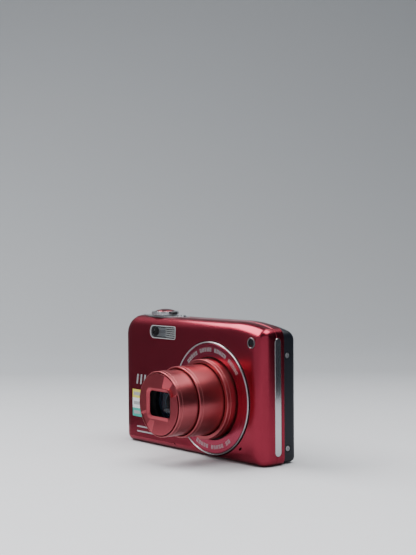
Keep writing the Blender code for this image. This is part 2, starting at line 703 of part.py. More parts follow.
def make_barrels():
    """The three telescoping barrels."""
    for stage, (outer, inner) in BARREL_RADII.items():
        front = BARREL_FRONTS[stage]
        rear = front + BARREL_LENGTHS[stage]
        profile = [(inner, front), (outer - BARREL_CHAMFER, front), (outer, front + BARREL_CHAMFER),
                   (outer, rear), (inner, rear)]
        place(f"barrel_{stage}", turned(profile, LENS, "Y"), RED)


def opening_outline(margin):
    """The lens opening from the front: a rectangle with rounded corners."""
    width = grown((LENS_X, LENS_X), OPENING_HALF_WIDTH + margin)
    height = grown((LENS_Z, LENS_Z), OPENING_HALF_HEIGHT + margin)
    return rounded_box(width, height, OPENING_CORNER + margin / 2)


def make_bezel():
    """The front cap of the lens, whose opening flares outward, with the pins of the two blades."""
    back = FACE_Y + BEZEL_THICK
    flare = stack([[spot("Y", x, z, y) for x, z in opening_outline(margin)]
                   for margin, y in ((OPENING_FLARE, FACE_Y - 0.3), (0, back + 0.3))])
    pins = [rod(PIVOT_PIN_RADIUS, back - 0.3, BLADE_LOWER_Y + 0.35, (LENS_X + side * BLADE_PIVOT, LENS_Z),
                "Y", 8) for side in (1, -1)]
    disc = rod(BEZEL_RADIUS, FACE_Y, back, LENS, "Y", ROUND)
    place("lens_bezel", disc, RED, edits=cut(flare) + join(*pins))


def make_blades():
    """The two shutter blades, each on its own pin and in its own layer."""
    swing = 2 * BLADE_PIVOT - PIVOT_PIN_RADIUS - 0.3
    last = math.acos((BLADE_RADIUS ** 2 + BLADE_PIVOT ** 2 - swing ** 2) / (2 * BLADE_RADIUS * BLADE_PIVOT))
    crescent = arc((0, 0), BLADE_RADIUS, -4, math.degrees(last), 18)
    tip = (BLADE_PIVOT - math.sqrt(swing ** 2 - BLADE_CHORD ** 2), BLADE_CHORD)
    lug = [(BLADE_RADIUS - 2.3, BLADE_CHORD), (BLADE_RADIUS - 2.3, -0.8)]
    outline = crescent + [tip] + lug
    for name, side, y in (("blade_upper", 1, BLADE_UPPER_Y), ("blade_lower", -1, BLADE_LOWER_Y)):
        blade = prism(shifted([(side * x, side * z) for x, z in outline], LENS), y, y + BLADE_THICK, "Y")
        pivot = (LENS_X + side * BLADE_PIVOT, LENS_Z)
        hole = rod(PIVOT_PIN_RADIUS + 0.1, y - 1, y + 1, pivot, "Y", 8)
        place(name, blade, BLACK, (pivot[0], y, pivot[1]), cut(hole))


def make_optics():
    """The glass groups, the cells that hold them and the image sensor."""
    holder = [(8.6, -33.2), (9.6, -34.4), (10.8, -35.3), (12.5, -35.3), (12.5, -30.7), (8.6, -30.7)]
    place("front_lens_holder", turned(holder, LENS, "Y"), BLACK)
    front = [(0, -34.2), (3.2, -34.0), (6.2, -33.4), (8.35, -32.5), (8.35, -31.0), (0, -31.0)]
    place("front_lens", turned(front, LENS, "Y", 24), GLASS)
    cell = [(7.2, -20.6), (12.2, -20.6), (12.2, -14.3), (13.5, -14.3), (13.5, -13.5), (11.4, -13.5),
            (11.4, -18.2), (7.2, -18.2)]
    place("variator_cell", turned(cell, LENS, "Y", 24), BLACK)
    variator = [(0, -20.2), (7.0, -19.8), (7.0, -18.6), (0, -18.2)]
    place("variator_lens", turned(variator, LENS, "Y", 24), GLASS)
    carriage = [(5.2, 0.5), (6.3, 0.5), (6.3, 2.6), (10.2, 2.6), (10.2, 3.4), (5.2, 3.4)]
    holes = [rod(GUIDE_RADIUS + 0.15, 2, 4, guide, "Y", 12) for guide in guide_places()]
    place("focus_cell", turned(carriage, LENS, "Y", 24), BLACK, edits=cut(*holes))
    focus = [(0, 0.7), (3.0, 0.85), (5.0, 1.3), (5.0, 2.9), (0, 2.9)]
    place("focus_lens", turned(focus, LENS, "Y", 24), GLASS)
    place("image_sensor", box(grown((LENS_X, LENS_X), 4.6), (4.8, 5.6), grown((LENS_Z, LENS_Z), 3.8)), BLUE)


# ---------------------------------------------------------------- battery side

def make_battery_door():
    """The door that wraps the lower left corner, with the round end it turns on."""
    solid = stack(casing_rings(FRONT, REAR_SEAM_Y - 0.05, FRONT_ROUNDING, FLUSH, 0))
    door = combined(solid, door_zone(0), "INTERSECT")
    hollow = box((-HALF + WALL, DOOR_AXIS[0] - DOOR_END_RADIUS), (FRONT + WALL + 2.3, 3), (WALL, 4))
    ear_room = box((EAR["x"][0] - DOOR_SLIDE - 0.4, 0), (EAR["y"][0] - 0.3, 3), (-1, 4))
    bore = rod(PIN_RADIUS + 0.1, PIN_FRONT - 0.1, 3, DOOR_AXIS, "Y", 12)
    pivot = (DOOR_AXIS[0], 0, DOOR_AXIS[1])
    place("battery_door", door, RED, pivot, cut(hollow, ear_room, bore))
    place("door_hinge_pin", rod(PIN_RADIUS, PIN_FRONT, 1.5, DOOR_AXIS, "Y", 12), STEEL)


def make_battery_side():
    """The battery, the memory card, their holder and the main board behind them."""
    cell = prism(rounded_box(BATTERY["x"], BATTERY["y"], 1.0, 2), *BATTERY["z"], "Z")
    place("battery", cell, BLUE)
    x, y = CARD["x"], CARD["y"]
    card = prism([(x[0], CARD["z"][0]), (x[1], CARD["z"][0]), (x[1], CARD["z"][1]),
                  (x[0] + 4, CARD["z"][1]), (x[0], CARD["z"][1] - 4)], y[0], y[1], "Y")
    place("memory_card", card, BLUE)
    pockets = [box(grown(bay["x"], 0.25), grown(bay["y"], 0.15), (2, bay["z"][1] + 0.2))
               for bay in (BATTERY, CARD)]
    place("battery_holder", box(HOLDER["x"], HOLDER["y"], HOLDER["z"]), BLACK,
          edits=cut(*pockets))
    place("main_board", box((-42.4, -8.8), (2.3, 3.1), (9.0, 46.5)), GREEN)


def make_usb():
    """The connector in the left side and the flap that covers it."""
    hinge = (-HALF + REAR_INSET["left"], USB_FLAP["z"][0])
    outline = rounded_box(USB_FLAP["y"], USB_FLAP["z"], 0.5, 2)
    flap = prism(outline, hinge[0], hinge[0] + USB_FLAP["thick"], "X")
    place("usb_cover", flap, BLACK, (hinge[0], sum(USB_FLAP["y"]) / 2, hinge[1]))
    shell = box((-44.8, -40.8), (3.6, 6.2), (14.2, 21.8))
    mouth = box((-45, -41.6), (4.0, 5.8), (14.7, 21.3))
    place("usb_connector", shell, STEEL, edits=cut(mouth))


# ---------------------------------------------------------------- controls

def coil(radius, wire, low, high, turns, centre):
    """A coil spring about a vertical axis, as a thick wire with flat ends."""
    steps = turns * 10
    rings = []
    for step in range(steps + 1):
        turn = math.tau * turns * step / steps
        height = low + wire + (high - low - 2 * wire) * step / steps
        ring = []
        for k in range(5):
            around = math.tau * k / 5
            reach = radius + wire * math.cos(around)
            ring.append((centre[0] + reach * math.cos(turn), centre[1] + reach * math.sin(turn),
                         height + wire * math.sin(around)))
        rings.append(ring)
    return stack(rings)


def make_top_controls():
    """The control plate, the zoom ring around the shutter button, and the power button."""
    plate = plate_pocket(0, PLATE_FLOOR + 0.15, PLATE_TOP)
    place("control_plate", plate, CHROME, edits=cut(rod(1.9, 56, 59, BUTTON_AXIS, "Z"),
                                                    rod(2.2, 56, 59, POWER_AXIS, "Z")))
    ring_low = PLATE_TOP + 0.25
    ring = tube(ZOOM_RING["outer"], ZOOM_RING["inner"], ring_low, ZOOM_RING["top"], BUTTON_AXIS, "Z", 24)
    x, y = BUTTON_AXIS
    tab = box([x + reach for reach in ZOOM_RING["tab"]], grown((y, y), ZOOM_RING["tab_half"]),
              (ring_low + 0.5, ZOOM_RING["top"] - GAP))
    place("zoom_ring", ring, CHROME, (x, y, ring_low), join(tab))
    button = [(0, 60.9), (2.2, 60.75), (3.8, 60.3), (4.4, 59.85), (4.4, 59.6), (1.4, 59.6),
              (1.4, 54.5), (0, 54.5)]
    place("shutter_button", turned(button, BUTTON_AXIS, "Z", 24), CHROME, (x, y, 59.6))
    place("shutter_spring", coil(2.6, 0.16, PLATE_TOP + 0.1, 59.5, 3, BUTTON_AXIS), STEEL,
          (x, y, PLATE_TOP + 0.1))
    power = [(0, 58.5), (1.5, 58.45), (1.9, 58.2), (1.9, 57.5), (1.3, 57.5), (1.3, 54.5), (0, 54.5)]
    place("power_button", turned(power, POWER_AXIS, "Z", 20), CHROME, (*POWER_AXIS, 57.5))


def rear_buttons():
    """The rear push buttons: a name and an outline that takes a margin."""
    def disc(x, z, radius):
        return lambda margin: arc((x, z), radius + margin, 0, 337.5, 15)

    def pill(x, z):
        return lambda margin: capsule((x - 1.7, z), (x + 1.7, z), 1.7 + margin, 5)

    return [("movie_button", disc(-25.6, 47.5, 2.4)), ("mode_button", pill(-24.8, 38.6)),
            ("playback_button", pill(-39.2, 38.6)), ("menu_button", pill(-24.8, 11.4)),
            ("delete_button", pill(-39.2, 11.4))]


def make_rear_controls():
    """The push buttons and the tilting selector on the back."""
    for name, outline in rear_buttons():
        place(name, prism(outline(0), 7.6, BACK + 0.3, "Y"), BLACK)
    rocker = [(4.3, 7.4), (9.3, 7.4), (9.3, 7.8), (SELECTOR_RADIUS, 7.8), (SELECTOR_RADIUS, BACK + 0.15),
              (8.2, BACK + 0.4), (4.6, BACK + 0.4), (4.3, BACK + 0.15)]
    x, z = SELECTOR
    place("multi_selector", turned(rocker, SELECTOR, "Y", 24), BLACK, (x, 7.0, z))
    place("selector_gimbal", tube(7.6, 4.8, 6.0, 6.6, SELECTOR, "Y", 20), STEEL, (x, 6.3, z))
    centre = [(0, 7.0), (3.7, 7.0), (3.7, BACK), (3.3, BACK + 0.25), (0, BACK + 0.35)]
    place("ok_button", turned(centre, SELECTOR, "Y", 24), BLACK, (x, 7.0, z))


def make_screen():
    """The screen panel and the window over it."""
    place("lcd_panel", box(LCD["x"], LCD["y"], LCD["z"]), GREY)
    window = prism(rounded_box(LCD_WINDOW["x"], LCD_WINDOW["z"], LCD_CORNER), *LCD_WINDOW["y"], "Y")
    place("lcd_window", window, GLASS)


for old in list(bpy.data.objects):
    bpy.data.objects.remove(old)

make_front_cover()
make_middle_frame()
make_rear_cover()
make_screws()
make_casing_trim()
make_flash()
make_front_trim()
make_lens_housing()
make_zoom_drive()
make_barrels()
make_bezel()
make_blades()
make_optics()
make_battery_door()
make_battery_side()
make_usb()
make_top_controls()
make_rear_controls()
make_screen()
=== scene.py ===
"""The finished look of a compact digital camera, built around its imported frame.

Sizes here are in millimetres, read from the frame's boxes where a piece has one; piece() turns a
finished shape into metres.  +X is to the right of someone facing the lens, and the lens looks along -Y.
"""

import math

import bmesh
import bpy
from mathutils import Matrix, Vector


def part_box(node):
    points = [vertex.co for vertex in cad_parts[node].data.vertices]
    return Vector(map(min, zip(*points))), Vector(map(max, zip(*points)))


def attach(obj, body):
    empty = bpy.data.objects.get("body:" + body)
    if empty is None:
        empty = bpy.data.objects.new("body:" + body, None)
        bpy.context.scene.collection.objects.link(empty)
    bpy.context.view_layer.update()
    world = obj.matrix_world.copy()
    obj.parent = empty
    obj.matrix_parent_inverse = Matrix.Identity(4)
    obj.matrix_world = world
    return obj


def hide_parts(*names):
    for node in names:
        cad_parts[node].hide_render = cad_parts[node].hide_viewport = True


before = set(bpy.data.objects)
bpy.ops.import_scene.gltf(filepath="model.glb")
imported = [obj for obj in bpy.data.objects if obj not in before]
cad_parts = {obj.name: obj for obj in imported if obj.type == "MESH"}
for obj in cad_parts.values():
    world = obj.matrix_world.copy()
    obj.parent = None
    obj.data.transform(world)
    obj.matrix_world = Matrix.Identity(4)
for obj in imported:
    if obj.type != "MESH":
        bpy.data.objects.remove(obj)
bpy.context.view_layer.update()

MM = 0.001
CASE = "camera_body"


def limits(node):
    """A node's limits along x, y and z, in millimetres."""
    low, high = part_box(node)
    return [(a / MM, b / MM) for a, b in zip(low, high)]


def middle(pair):
    """The middle of a pair of limits."""
    return (pair[0] + pair[1]) / 2


def grown(pair, amount):
    """A pair of limits moved apart by amount at each end."""
    return (pair[0] - amount, pair[1] + amount)


def centre_of(node, axis):
    """A node's centre, seen along an axis."""
    return tuple(middle(pair) for pair, name in zip(limits(node), "XYZ") if name != axis)


# ---- casing: its limits from the frame, and its roundings ----
(LEFT, RIGHT), (_, FRONT_SEAM), (BOTTOM, TOP) = limits("front_cover")
REAR_SEAM, BACK = limits("rear_cover")[1]
FRONT = -BACK
GAP = 0.12
BAND = (FRONT_SEAM + GAP, REAR_SEAM - GAP)
WALL = 1.2
SHOULDER_IN = 11.5
SHOULDER_SLOPE = math.radians(15)
SHOULDER_RADIUS = 60.0
CORNER_RADII = {("left", "bottom"): 4.0, ("right", "bottom"): 3.0, ("right", "top"): 4.6,
                ("left", "top"): 8.8}
FRONT_ROUNDING = {"left": 5.0, "right": 6.2, "bottom": 3.5, "top": 5.5}
REAR_ROUNDING = {"left": 2.5, "right": 2.5, "bottom": 2.5, "top": 4.0}
FLUSH = dict.fromkeys(FRONT_ROUNDING, 0.0)
REAR_INSET = {"left": 1.2, "right": 1.2, "bottom": 0.4, "top": 1.0}
RIM = 0.15
EDGE_STRETCH = 0.3

# ---- lens and controls: their centres from the frame, and the sizes around them ----
LENS = centre_of("barrel_outer", "Y")
LAMP = centre_of("af_lamp_window", "Y")
SELECTOR = centre_of("multi_selector", "Y")
BUTTON = centre_of("shutter_button", "Z")
POWER = centre_of("power_button", "Z")
TRIPOD = centre_of("tripod_socket", "Z")
TRIPOD_HOLE = 4.35
BUTTON_HOLE = 2.1
PLATE_SEAT = 57.2
DOOR_AXIS = (-11.1, 1.45)
EAR_LEFT = -15.2
RING_FACE = limits("lens_ring_plate")[1][0]
BOSS_BORE = 21.9
RECESS_RADIUS = 23.95
RING_OUTER = 24.3
SKIRT_RADIUS = 28.5
RAMP_DEPTH = 0.7
RAMP_TURN, STEP_TURN, RISE_TURN = 24.0, 46.0, 49.0

# ---- fineness of round shapes, and the level direction of the view ----
FINE = 96
SMOOTH = 144
BEZEL_SPOKES = 288
VIEW = (-0.7664, 0.6422)


# ---- materials ----

def feed(tree, node, inputs):
    """Set some of a node's inputs, each to a socket, a number, a colour or a vector."""
    for slot, value in inputs.items():
        target = node.inputs[slot]
        if hasattr(value, "is_output"):
            tree.links.new(value, target)
        elif isinstance(value, (list, tuple)):
            target.default_value = (*value, 1)[:len(target.default_value)]
        else:
            target.default_value = value


def add_node(tree, kind, inputs=(), **settings):
    """A new shader node with its settings and inputs."""
    node = tree.nodes.new("ShaderNode" + kind)
    for name, value in settings.items():
        setattr(node, name, value)
    feed(tree, node, dict(inputs))
    return node


def maths(tree, operation, first, second):
    """A maths node on two values, either of which may be a socket."""
    return add_node(tree, "Math", {0: first, 1: second}, operation=operation).outputs[0]


def place_coords(tree, stretch=(1, 1, 1)):
    """Object coordinates in millimetres, scaled along each axis."""
    place = add_node(tree, "TexCoord").outputs["Object"]
    return add_node(tree, "Mapping", {"Vector": place, "Scale": [s / MM for s in stretch]}).outputs[0]


def turned_coords(tree, centre, per_mm):
    """Coordinates that follow radius and depth about a front-to-back axis, and hardly the angle."""
    place = add_node(tree, "SeparateXYZ", {0: add_node(tree, "TexCoord").outputs["Object"]}).outputs
    first, second = (maths(tree, "SUBTRACT", place[axis], offset * MM) for axis, offset in zip("XZ", centre))
    squares = [maths(tree, "MULTIPLY", value, value) for value in (first, second)]
    radius = maths(tree, "SQRT", maths(tree, "ADD", *squares), 0)
    angle = maths(tree, "ARCTAN2", second, first)
    return add_node(tree, "CombineXYZ", {0: maths(tree, "MULTIPLY", radius, per_mm / MM),
                                         1: maths(tree, "MULTIPLY", place["Y"], per_mm / MM),
                                         2: maths(tree, "MULTIPLY", angle, 1.2)}).outputs[0]


def noise(tree, vector, scale=1.0, detail=3.0):
    """A noise value over a vector."""
    return add_node(tree, "TexNoise", {"Scale": scale, "Detail": detail, "Vector": vector}).outputs["Fac"]


def span(tree, value, low, high, start=0.0, end=1.0):
    """A value that runs from low to high as another one runs from start to end."""
    return add_node(tree, "MapRange", {"Value": value, "From Min": start, "From Max": end,
                                       "To Min": low, "To Max": high}).outputs["Result"]


def blend_colour(tree, share, first, second):
    """A colour between two colours, either of which may be a socket."""
    return add_node(tree, "Mix", {0: share, 6: first, 7: second}, data_type="RGBA").outputs[2]


def dot_product(tree, first, second):
    """The dot product of two vectors, either of which may be a socket."""
    return add_node(tree, "VectorMath", {0: first, 1: second}, operation="DOT_PRODUCT").outputs["Value"]


def bevel_and_edge_highlight(tree, reach):
    """A normal bevelled over reach, and a value from 0 on flat faces to 1 on sharp edges, for a painted edge
    highlight.
    """
    bevel = add_node(tree, "Bevel", {"Radius": reach * MM}, samples=4).outputs[0]
    normal = add_node(tree, "NewGeometry").outputs["Normal"]
    lean = maths(tree, "SUBTRACT", 1.0, dot_product(tree, bevel, normal))
    return bevel, maths(tree, "MINIMUM", maths(tree, "MULTIPLY", lean, 3.0), 1.0)


def blank_finish(name):
    """A new material, with its node tree and its shader."""
    finish = bpy.data.materials.new(name)
    finish.use_nodes = True
    return finish, finish.node_tree, finish.node_tree.nodes["Principled BSDF"]


def surface(name, colour, second, metallic, roughness, grain=6.0, bump=0.02, coat=0.0,
            stretch=(1, 1, 1), about=None, edge=None, anisotropic=0.0, spread=0.08):
    """A procedural finish: mottled colour, uneven roughness, fine grain and softened edges with a painted
    highlight.
    """
    finish, tree, shader = blank_finish(name)
    vector = turned_coords(tree, *about) if about else place_coords(tree, stretch)
    fine = noise(tree, vector, 1.0 if about else grain)
    rounded_normal, edge_highlight_share = bevel_and_edge_highlight(tree, 0.12)
    tone = blend_colour(tree, noise(tree, place_coords(tree), 0.12, 2.0), colour, second)
    # The edge colour is a lighter copy of the finish, painted on sharp edges as a highlight.
    highlight_colour = edge or [min(1.0, c * 1.6 + 0.02) for c in colour]
    relief = add_node(tree, "Bump", {"Strength": 1.0, "Distance": bump * MM, "Height": fine,
                                     "Normal": rounded_normal})
    feed(tree, shader, {"Base Color": blend_colour(tree, maths(tree, "MULTIPLY", edge_highlight_share, 0.6), tone, highlight_colour),
                        "Roughness": span(tree, fine, roughness - spread, roughness + spread),
                        "Normal": relief.outputs[0], "Metallic": metallic, "Anisotropic": anisotropic,
                        "Coat Weight": coat, "Coat Roughness": 0.08})
    return finish


def clear_pane(name, tint, gloss=1.0, haze=0.0):
    """A thin clear or tinted pane: see-through, with a mirror-like sheen and faint smears."""
    finish, tree, shader = blank_finish(name)
    tree.nodes.remove(shader)
    clear = add_node(tree, "BsdfTransparent", {"Color": tint})
    smear = span(tree, noise(tree, place_coords(tree), 0.6), 0.02, 0.08 + haze)
    shine = add_node(tree, "BsdfGlossy", {"Color": (gloss, gloss, gloss), "Roughness": smear})
    grazing = maths(tree, "POWER", add_node(tree, "LayerWeight").outputs["Facing"], 4.0)
    share = maths(tree, "ADD", maths(tree, "MULTIPLY", grazing, 0.9), 0.05 + haze)
    mix = add_node(tree, "MixShader", {0: share, 1: clear.outputs[0], 2: shine.outputs[0]})
    feed(tree, tree.nodes["Material Output"], {"Surface": mix.outputs[0]})
    return finish


def print_finish(name, colour, metallic=0.0, roughness=0.35):
    """The finish of a printed mark or a label."""
    return surface(name, colour, [c * 0.92 for c in colour], metallic, roughness, grain=9.0, bump=0.003)


RED = surface("red_anodised", (0.35, 0.036, 0.064), (0.41, 0.045, 0.076), 1.0, 0.24, grain=14.0,
              bump=0.003, coat=0.02, edge=(0.60, 0.10, 0.15), spread=0.03)
BARREL = surface("red_turned", (0.47, 0.105, 0.120), (0.53, 0.125, 0.140), 1.0, 0.34, bump=0.002,
                 about=(LENS, 22.0), edge=(0.85, 0.42, 0.38), anisotropic=0.4, spread=0.05)
BEZEL = surface("red_bezel", (0.52, 0.090, 0.112), (0.58, 0.105, 0.130), 1.0, 0.30, bump=0.003,
                about=(LENS, 18.0), edge=(0.75, 0.25, 0.28), anisotropic=0.3, spread=0.05)
# A much lighter copy of the bezel red for its ramp faces: a painted highlight where the steps catch the
# light.
LIT_FACET = surface("red_facet_painted_highlight", (0.90, 0.14, 0.18), (0.95, 0.18, 0.22), 0.85, 0.30, bump=0.002,
                about=(LENS, 18.0), edge=(1.0, 0.4, 0.42), spread=0.05)
PLATE = surface("red_ring", (0.42, 0.050, 0.095), (0.48, 0.060, 0.110), 1.0, 0.28, bump=0.002,
                about=(LENS, 16.0), coat=0.15, edge=(0.6, 0.15, 0.18), anisotropic=0.3, spread=0.04)
BLACK = surface("black_moulded", (0.004, 0.006, 0.011), (0.006, 0.009, 0.015), 0.0, 0.36, grain=5.0,
                bump=0.010, edge=(0.03, 0.033, 0.04))
INNER_BLACK = surface("black_matte", (0.008, 0.008, 0.009), (0.012, 0.012, 0.013), 0.0, 0.6, bump=0.006,
                      about=(LENS, 3.0), edge=(0.04, 0.04, 0.045))
GLOSS = surface("black_gloss", (0.010, 0.011, 0.013), (0.013, 0.014, 0.017), 0.0, 0.16, grain=2.0,
                bump=0.002, coat=0.5, edge=(0.08, 0.08, 0.09))
BUTTON_RED = surface("red_polished", (0.34, 0.085, 0.105), (0.40, 0.11, 0.13), 1.0, 0.14, grain=4.0,
                     bump=0.002, edge=(0.8, 0.5, 0.5), spread=0.04)
CHROME = surface("polished_metal", (0.70, 0.71, 0.73), (0.78, 0.79, 0.80), 1.0, 0.12, grain=4.0,
                 bump=0.003, edge=(0.95, 0.95, 0.96), spread=0.05)
SATIN = surface("satin_metal", (0.55, 0.56, 0.58), (0.63, 0.64, 0.66), 1.0, 0.28, grain=3.0,
                bump=0.005, stretch=(0.2, 6, 6), edge=(0.85, 0.85, 0.87))
STEEL = surface("dark_steel", (0.22, 0.225, 0.235), (0.30, 0.305, 0.315), 1.0, 0.34, grain=5.0,
                bump=0.006, edge=(0.6, 0.6, 0.62))
BRASS = surface("brass", (0.52, 0.36, 0.13), (0.60, 0.43, 0.17), 1.0, 0.32, bump=0.006,
                about=(LENS, 4.0), edge=(0.8, 0.65, 0.35))
BOARD = surface("board_green", (0.01, 0.09, 0.04), (0.015, 0.13, 0.055), 0.0, 0.4, grain=1.2, bump=0.01)
WRAP = surface("cell_wrap", (0.055, 0.058, 0.062), (0.08, 0.082, 0.088), 0.0, 0.45, grain=3.0, bump=0.008)
SENSOR = surface("sensor_face", (0.02, 0.05, 0.07), (0.04, 0.03, 0.08), 0.3, 0.12, grain=1.0, bump=0.001)
SCREEN = surface("screen_dark", (0.020, 0.022, 0.026), (0.028, 0.030, 0.035), 0.0, 0.25, grain=8.0,
                 bump=0.001)
FROST = surface("frosted", (0.26, 0.27, 0.27), (0.34, 0.35, 0.35), 0.0, 0.30, grain=2.0, bump=0.02,
                stretch=(4, 1, 0.3))
PEARL = surface("pearl", (0.50, 0.51, 0.53), (0.58, 0.59, 0.61), 0.1, 0.25, grain=3.0, bump=0.004)
MIRROR = surface("reflector", (0.26, 0.28, 0.31), (0.56, 0.58, 0.62), 0.35, 0.22, grain=1.6, bump=0.03)
PRINT = print_finish("silver_print", (0.55, 0.58, 0.60), 0.6, 0.3)
GREY_PRINT = print_finish("grey_print", (0.35, 0.36, 0.37))
CLEAR = clear_pane("clear_window", (0.94, 0.95, 0.95), 0.8)
COATED = clear_pane("coated_glass", (0.60, 0.66, 0.74), 0.6, 0.03)
DARK_PANE = clear_pane("dark_pane", (0.10, 0.11, 0.13), 0.9)


# ---- shape tools ----

def spot(axis, first, second, height):
    """A point from its two flat coordinates and its height along an axis."""
    if axis == "X":
        return (height, first, second)
    if axis == "Y":
        return (first, height, second)
    return (first, second, height)


def skin(shape, near, far):
    """Faces between two rings of vertices, either of which may be a single point."""
    count = max(len(near), len(far))
    for i in range(count):
        j = (i + 1) % count
        corners = [near[i % len(near)], near[j % len(near)], far[j % len(far)], far[i % len(far)]]
        unique = list(dict.fromkeys(corners))
        if len(unique) > 2:
            shape.faces.new(unique)


def stack(rings, joined=False):
    """A solid through a run of equal rings: capped at both ends, or joined end to start."""
    shape = bmesh.new()
    rows = [[shape.verts.new(point) for point in ring] for ring in rings]
    for near, far in zip(rows, rows[1:]):
        skin(shape, near, far)
    if joined:
        skin(shape, rows[-1], rows[0])
    else:
        shape.faces.new(rows[0])
        shape.faces.new(rows[-1])
    bmesh.ops.recalc_face_normals(shape, faces=shape.faces)
    return shape


def prism(outline, low, high, axis, soften=0.0):
    """An outline extruded along an axis, with both ends pulled in by soften for a rounded edge."""
    if not soften:
        return stack([[spot(axis, a, b, height) for a, b in outline] for height in (low, high)])
    centre = Vector((sum(a for a, _ in outline) / len(outline), sum(b for _, b in outline) / len(outline)))
    extent = max((Vector(point) - centre).length for point in outline)
    rings = []
    for lean in (0, 30, 60, 90, 90, 120, 150, 180):
        inward = soften * (1 - math.sin(math.radians(lean)))
        rise = soften * (1 - abs(math.cos(math.radians(lean))))
        height = low + rise if len(rings) < 4 else high - rise
        line = inset(outline, inward) if extent > soften else outline
        rings.append([spot(axis, a, b, height) for a, b in line])
    return stack(rings)


def inset(outline, amount):
    """An anticlockwise outline moved inward by amount along its own normals."""
    moved = []
    for i, point in enumerate(outline):
        back = Vector(point) - Vector(outline[i - 1])
        ahead = Vector(outline[(i + 1) % len(outline)]) - Vector(point)
        along = back.normalized() + ahead.normalized()
        moved.append(tuple(Vector(point) + Vector((-along.y, along.x)).normalized() * amount))
    return moved


def box(x, y, z):
    """A block between three pairs of limits."""
    return prism([(x[0], y[0]), (x[1], y[0]), (x[1], y[1]), (x[0], y[1])], z[0], z[1], "Z")


def ring_about(centre, radius, turns, height, axis):
    """The points at some turns about an axis through centre, at a radius and a height."""
    return [spot(axis, centre[0] + radius * math.cos(turn), centre[1] + radius * math.sin(turn), height)
            for turn in turns]


def turned(profile, centre, axis, segments=FINE):
    """A closed profile of (radius, height) points, revolved about an axis through centre."""
    turns = [math.tau * k / segments for k in range(segments)]
    return stack([ring_about(centre, radius, turns if radius > 0 else turns[:1], height, axis)
                  for radius, height in profile], joined=True)


def rod(radius, low, high, centre, axis, segments=48):
    """A plain round bar, for cutting."""
    return turned([(0, low), (radius, low), (radius, high), (0, high)], centre, axis, segments)


def arc(centre, radius, start, end, steps):
    """Points along an arc, given in degrees."""
    turns = [math.radians(start + (end - start) * k / steps) for k in range(steps + 1)]
    return [(centre[0] + radius * math.cos(t), centre[1] + radius * math.sin(t)) for t in turns]


def rounded(corners, steps=10):
    """An anticlockwise outline of (first, second, radius) corners, each turned into an arc."""
    outline = []
    for i, (a, b, radius) in enumerate(corners):
        here = Vector((a, b))
        back = (Vector(corners[i - 1][:2]) - here).normalized()
        ahead = (Vector(corners[(i + 1) % len(corners)][:2]) - here).normalized()
        half = back.angle(ahead) / 2
        centre = here + (back + ahead).normalized() * (radius / math.sin(half))
        first = here + back * (radius / math.tan(half)) - centre
        turn = math.pi - 2 * half
        for k in range(steps + 1):
            angle = turn * k / steps
            outline.append((centre.x + first.x * math.cos(angle) - first.y * math.sin(angle),
                            centre.y + first.x * math.sin(angle) + first.y * math.cos(angle)))
    return outline


def rounded_box(first, second, radius, steps=8):
    """A rectangle outline with rounded corners, between two pairs of limits."""
    return rounded([(first[0], second[0], radius), (first[1], second[0], radius),
                    (first[1], second[1], radius), (first[0], second[1], radius)], steps)


def capsule(start, end, radius, steps=16):
    """The outline of a slot with round ends, between two centres."""
    lean = math.degrees(math.atan2(end[1] - start[1], end[0] - start[0]))
    return arc(end, radius, lean - 90, lean + 90, steps) + arc(start, radius, lean + 90, lean + 270, steps)


def new_object(name, shape):
    """An object in metres from a shape in millimetres."""
    for vertex in shape.verts:
        vertex.co = vertex.co * MM
    mesh = bpy.data.meshes.new(name)
    shape.to_mesh(mesh)
    shape.free()
    thing = bpy.data.objects.new(name, mesh)
    bpy.context.scene.collection.objects.link(thing)
    return thing


def edited(name, shape, edits):
    """A shape after its Booleans, whose tools are shapes or objects, as a plain object."""
    thing = new_object(name, shape)
    helpers = []
    for operation, tool in edits:
        helpers.append(tool if isinstance(tool, bpy.types.Object) else new_object("helper", tool))
        boolean = thing.modifiers.new("edit", "BOOLEAN")
        boolean.operation = operation
        boolean.object = helpers[-1]
    if helpers:
        graph = bpy.context.evaluated_depsgraph_get()
        mesh = bpy.data.meshes.new_from_object(thing.evaluated_get(graph))
        thing.modifiers.clear()
        thing.data = mesh
        for helper in helpers:
            bpy.data.objects.remove(helper)
    return thing


def join(*tools):
    """Edits that add shapes to a piece."""
    return [("UNION", tool) for tool in tools]


def cut(*tools):
    """Edits that cut shapes out of a piece."""
    return [("DIFFERENCE", tool) for tool in tools]


def piece(name, shape, finish, body, stands_for=None, edits=(), sharp=32):
    """One visible piece: cut, shaded, given its finish and colour slot, and set to ride on its body."""
    thing = edited(name, shape, edits)
    mesh = thing.data
    mesh.materials.clear()
    mesh.materials.append(finish)
    mesh.shade_smooth()
    mesh.set_sharp_from_angle(angle=math.radians(sharp))
    thing.modifiers.new("flat_faces", "WEIGHTED_NORMAL").keep_sharp = True
    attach(thing, body)
    if stands_for:
        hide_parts(stands_for)
    return thing


# ---- casing ----

def casing_outline(inward):
    """The casing seen from the front, with each side moved in by its own amount."""
    left, right = LEFT + inward["left"], RIGHT - inward["right"]
    low, top = BOTTOM + inward["bottom"], TOP - inward["top"]
    drop = SHOULDER_IN * math.tan(SHOULDER_SLOPE)
    radii = [max(radius - (inward[a] + inward[b]) / 2, 1.0) for (a, b), radius in CORNER_RADII.items()]
    return rounded([(left, low, radii[0]), (right, low, radii[1]), (right, top - drop, radii[2]),
                    (right - SHOULDER_IN, top, SHOULDER_RADIUS), (left, top, radii[3])])


def casing_ring(y, inward):
    """One outline of the casing, at y."""
    return [spot("Y", x, z, y) for x, z in casing_outline(inward)]


def even_inset(base, amount):
    """The base insets, each with amount added."""
    return {side: value + amount for side, value in base.items()}


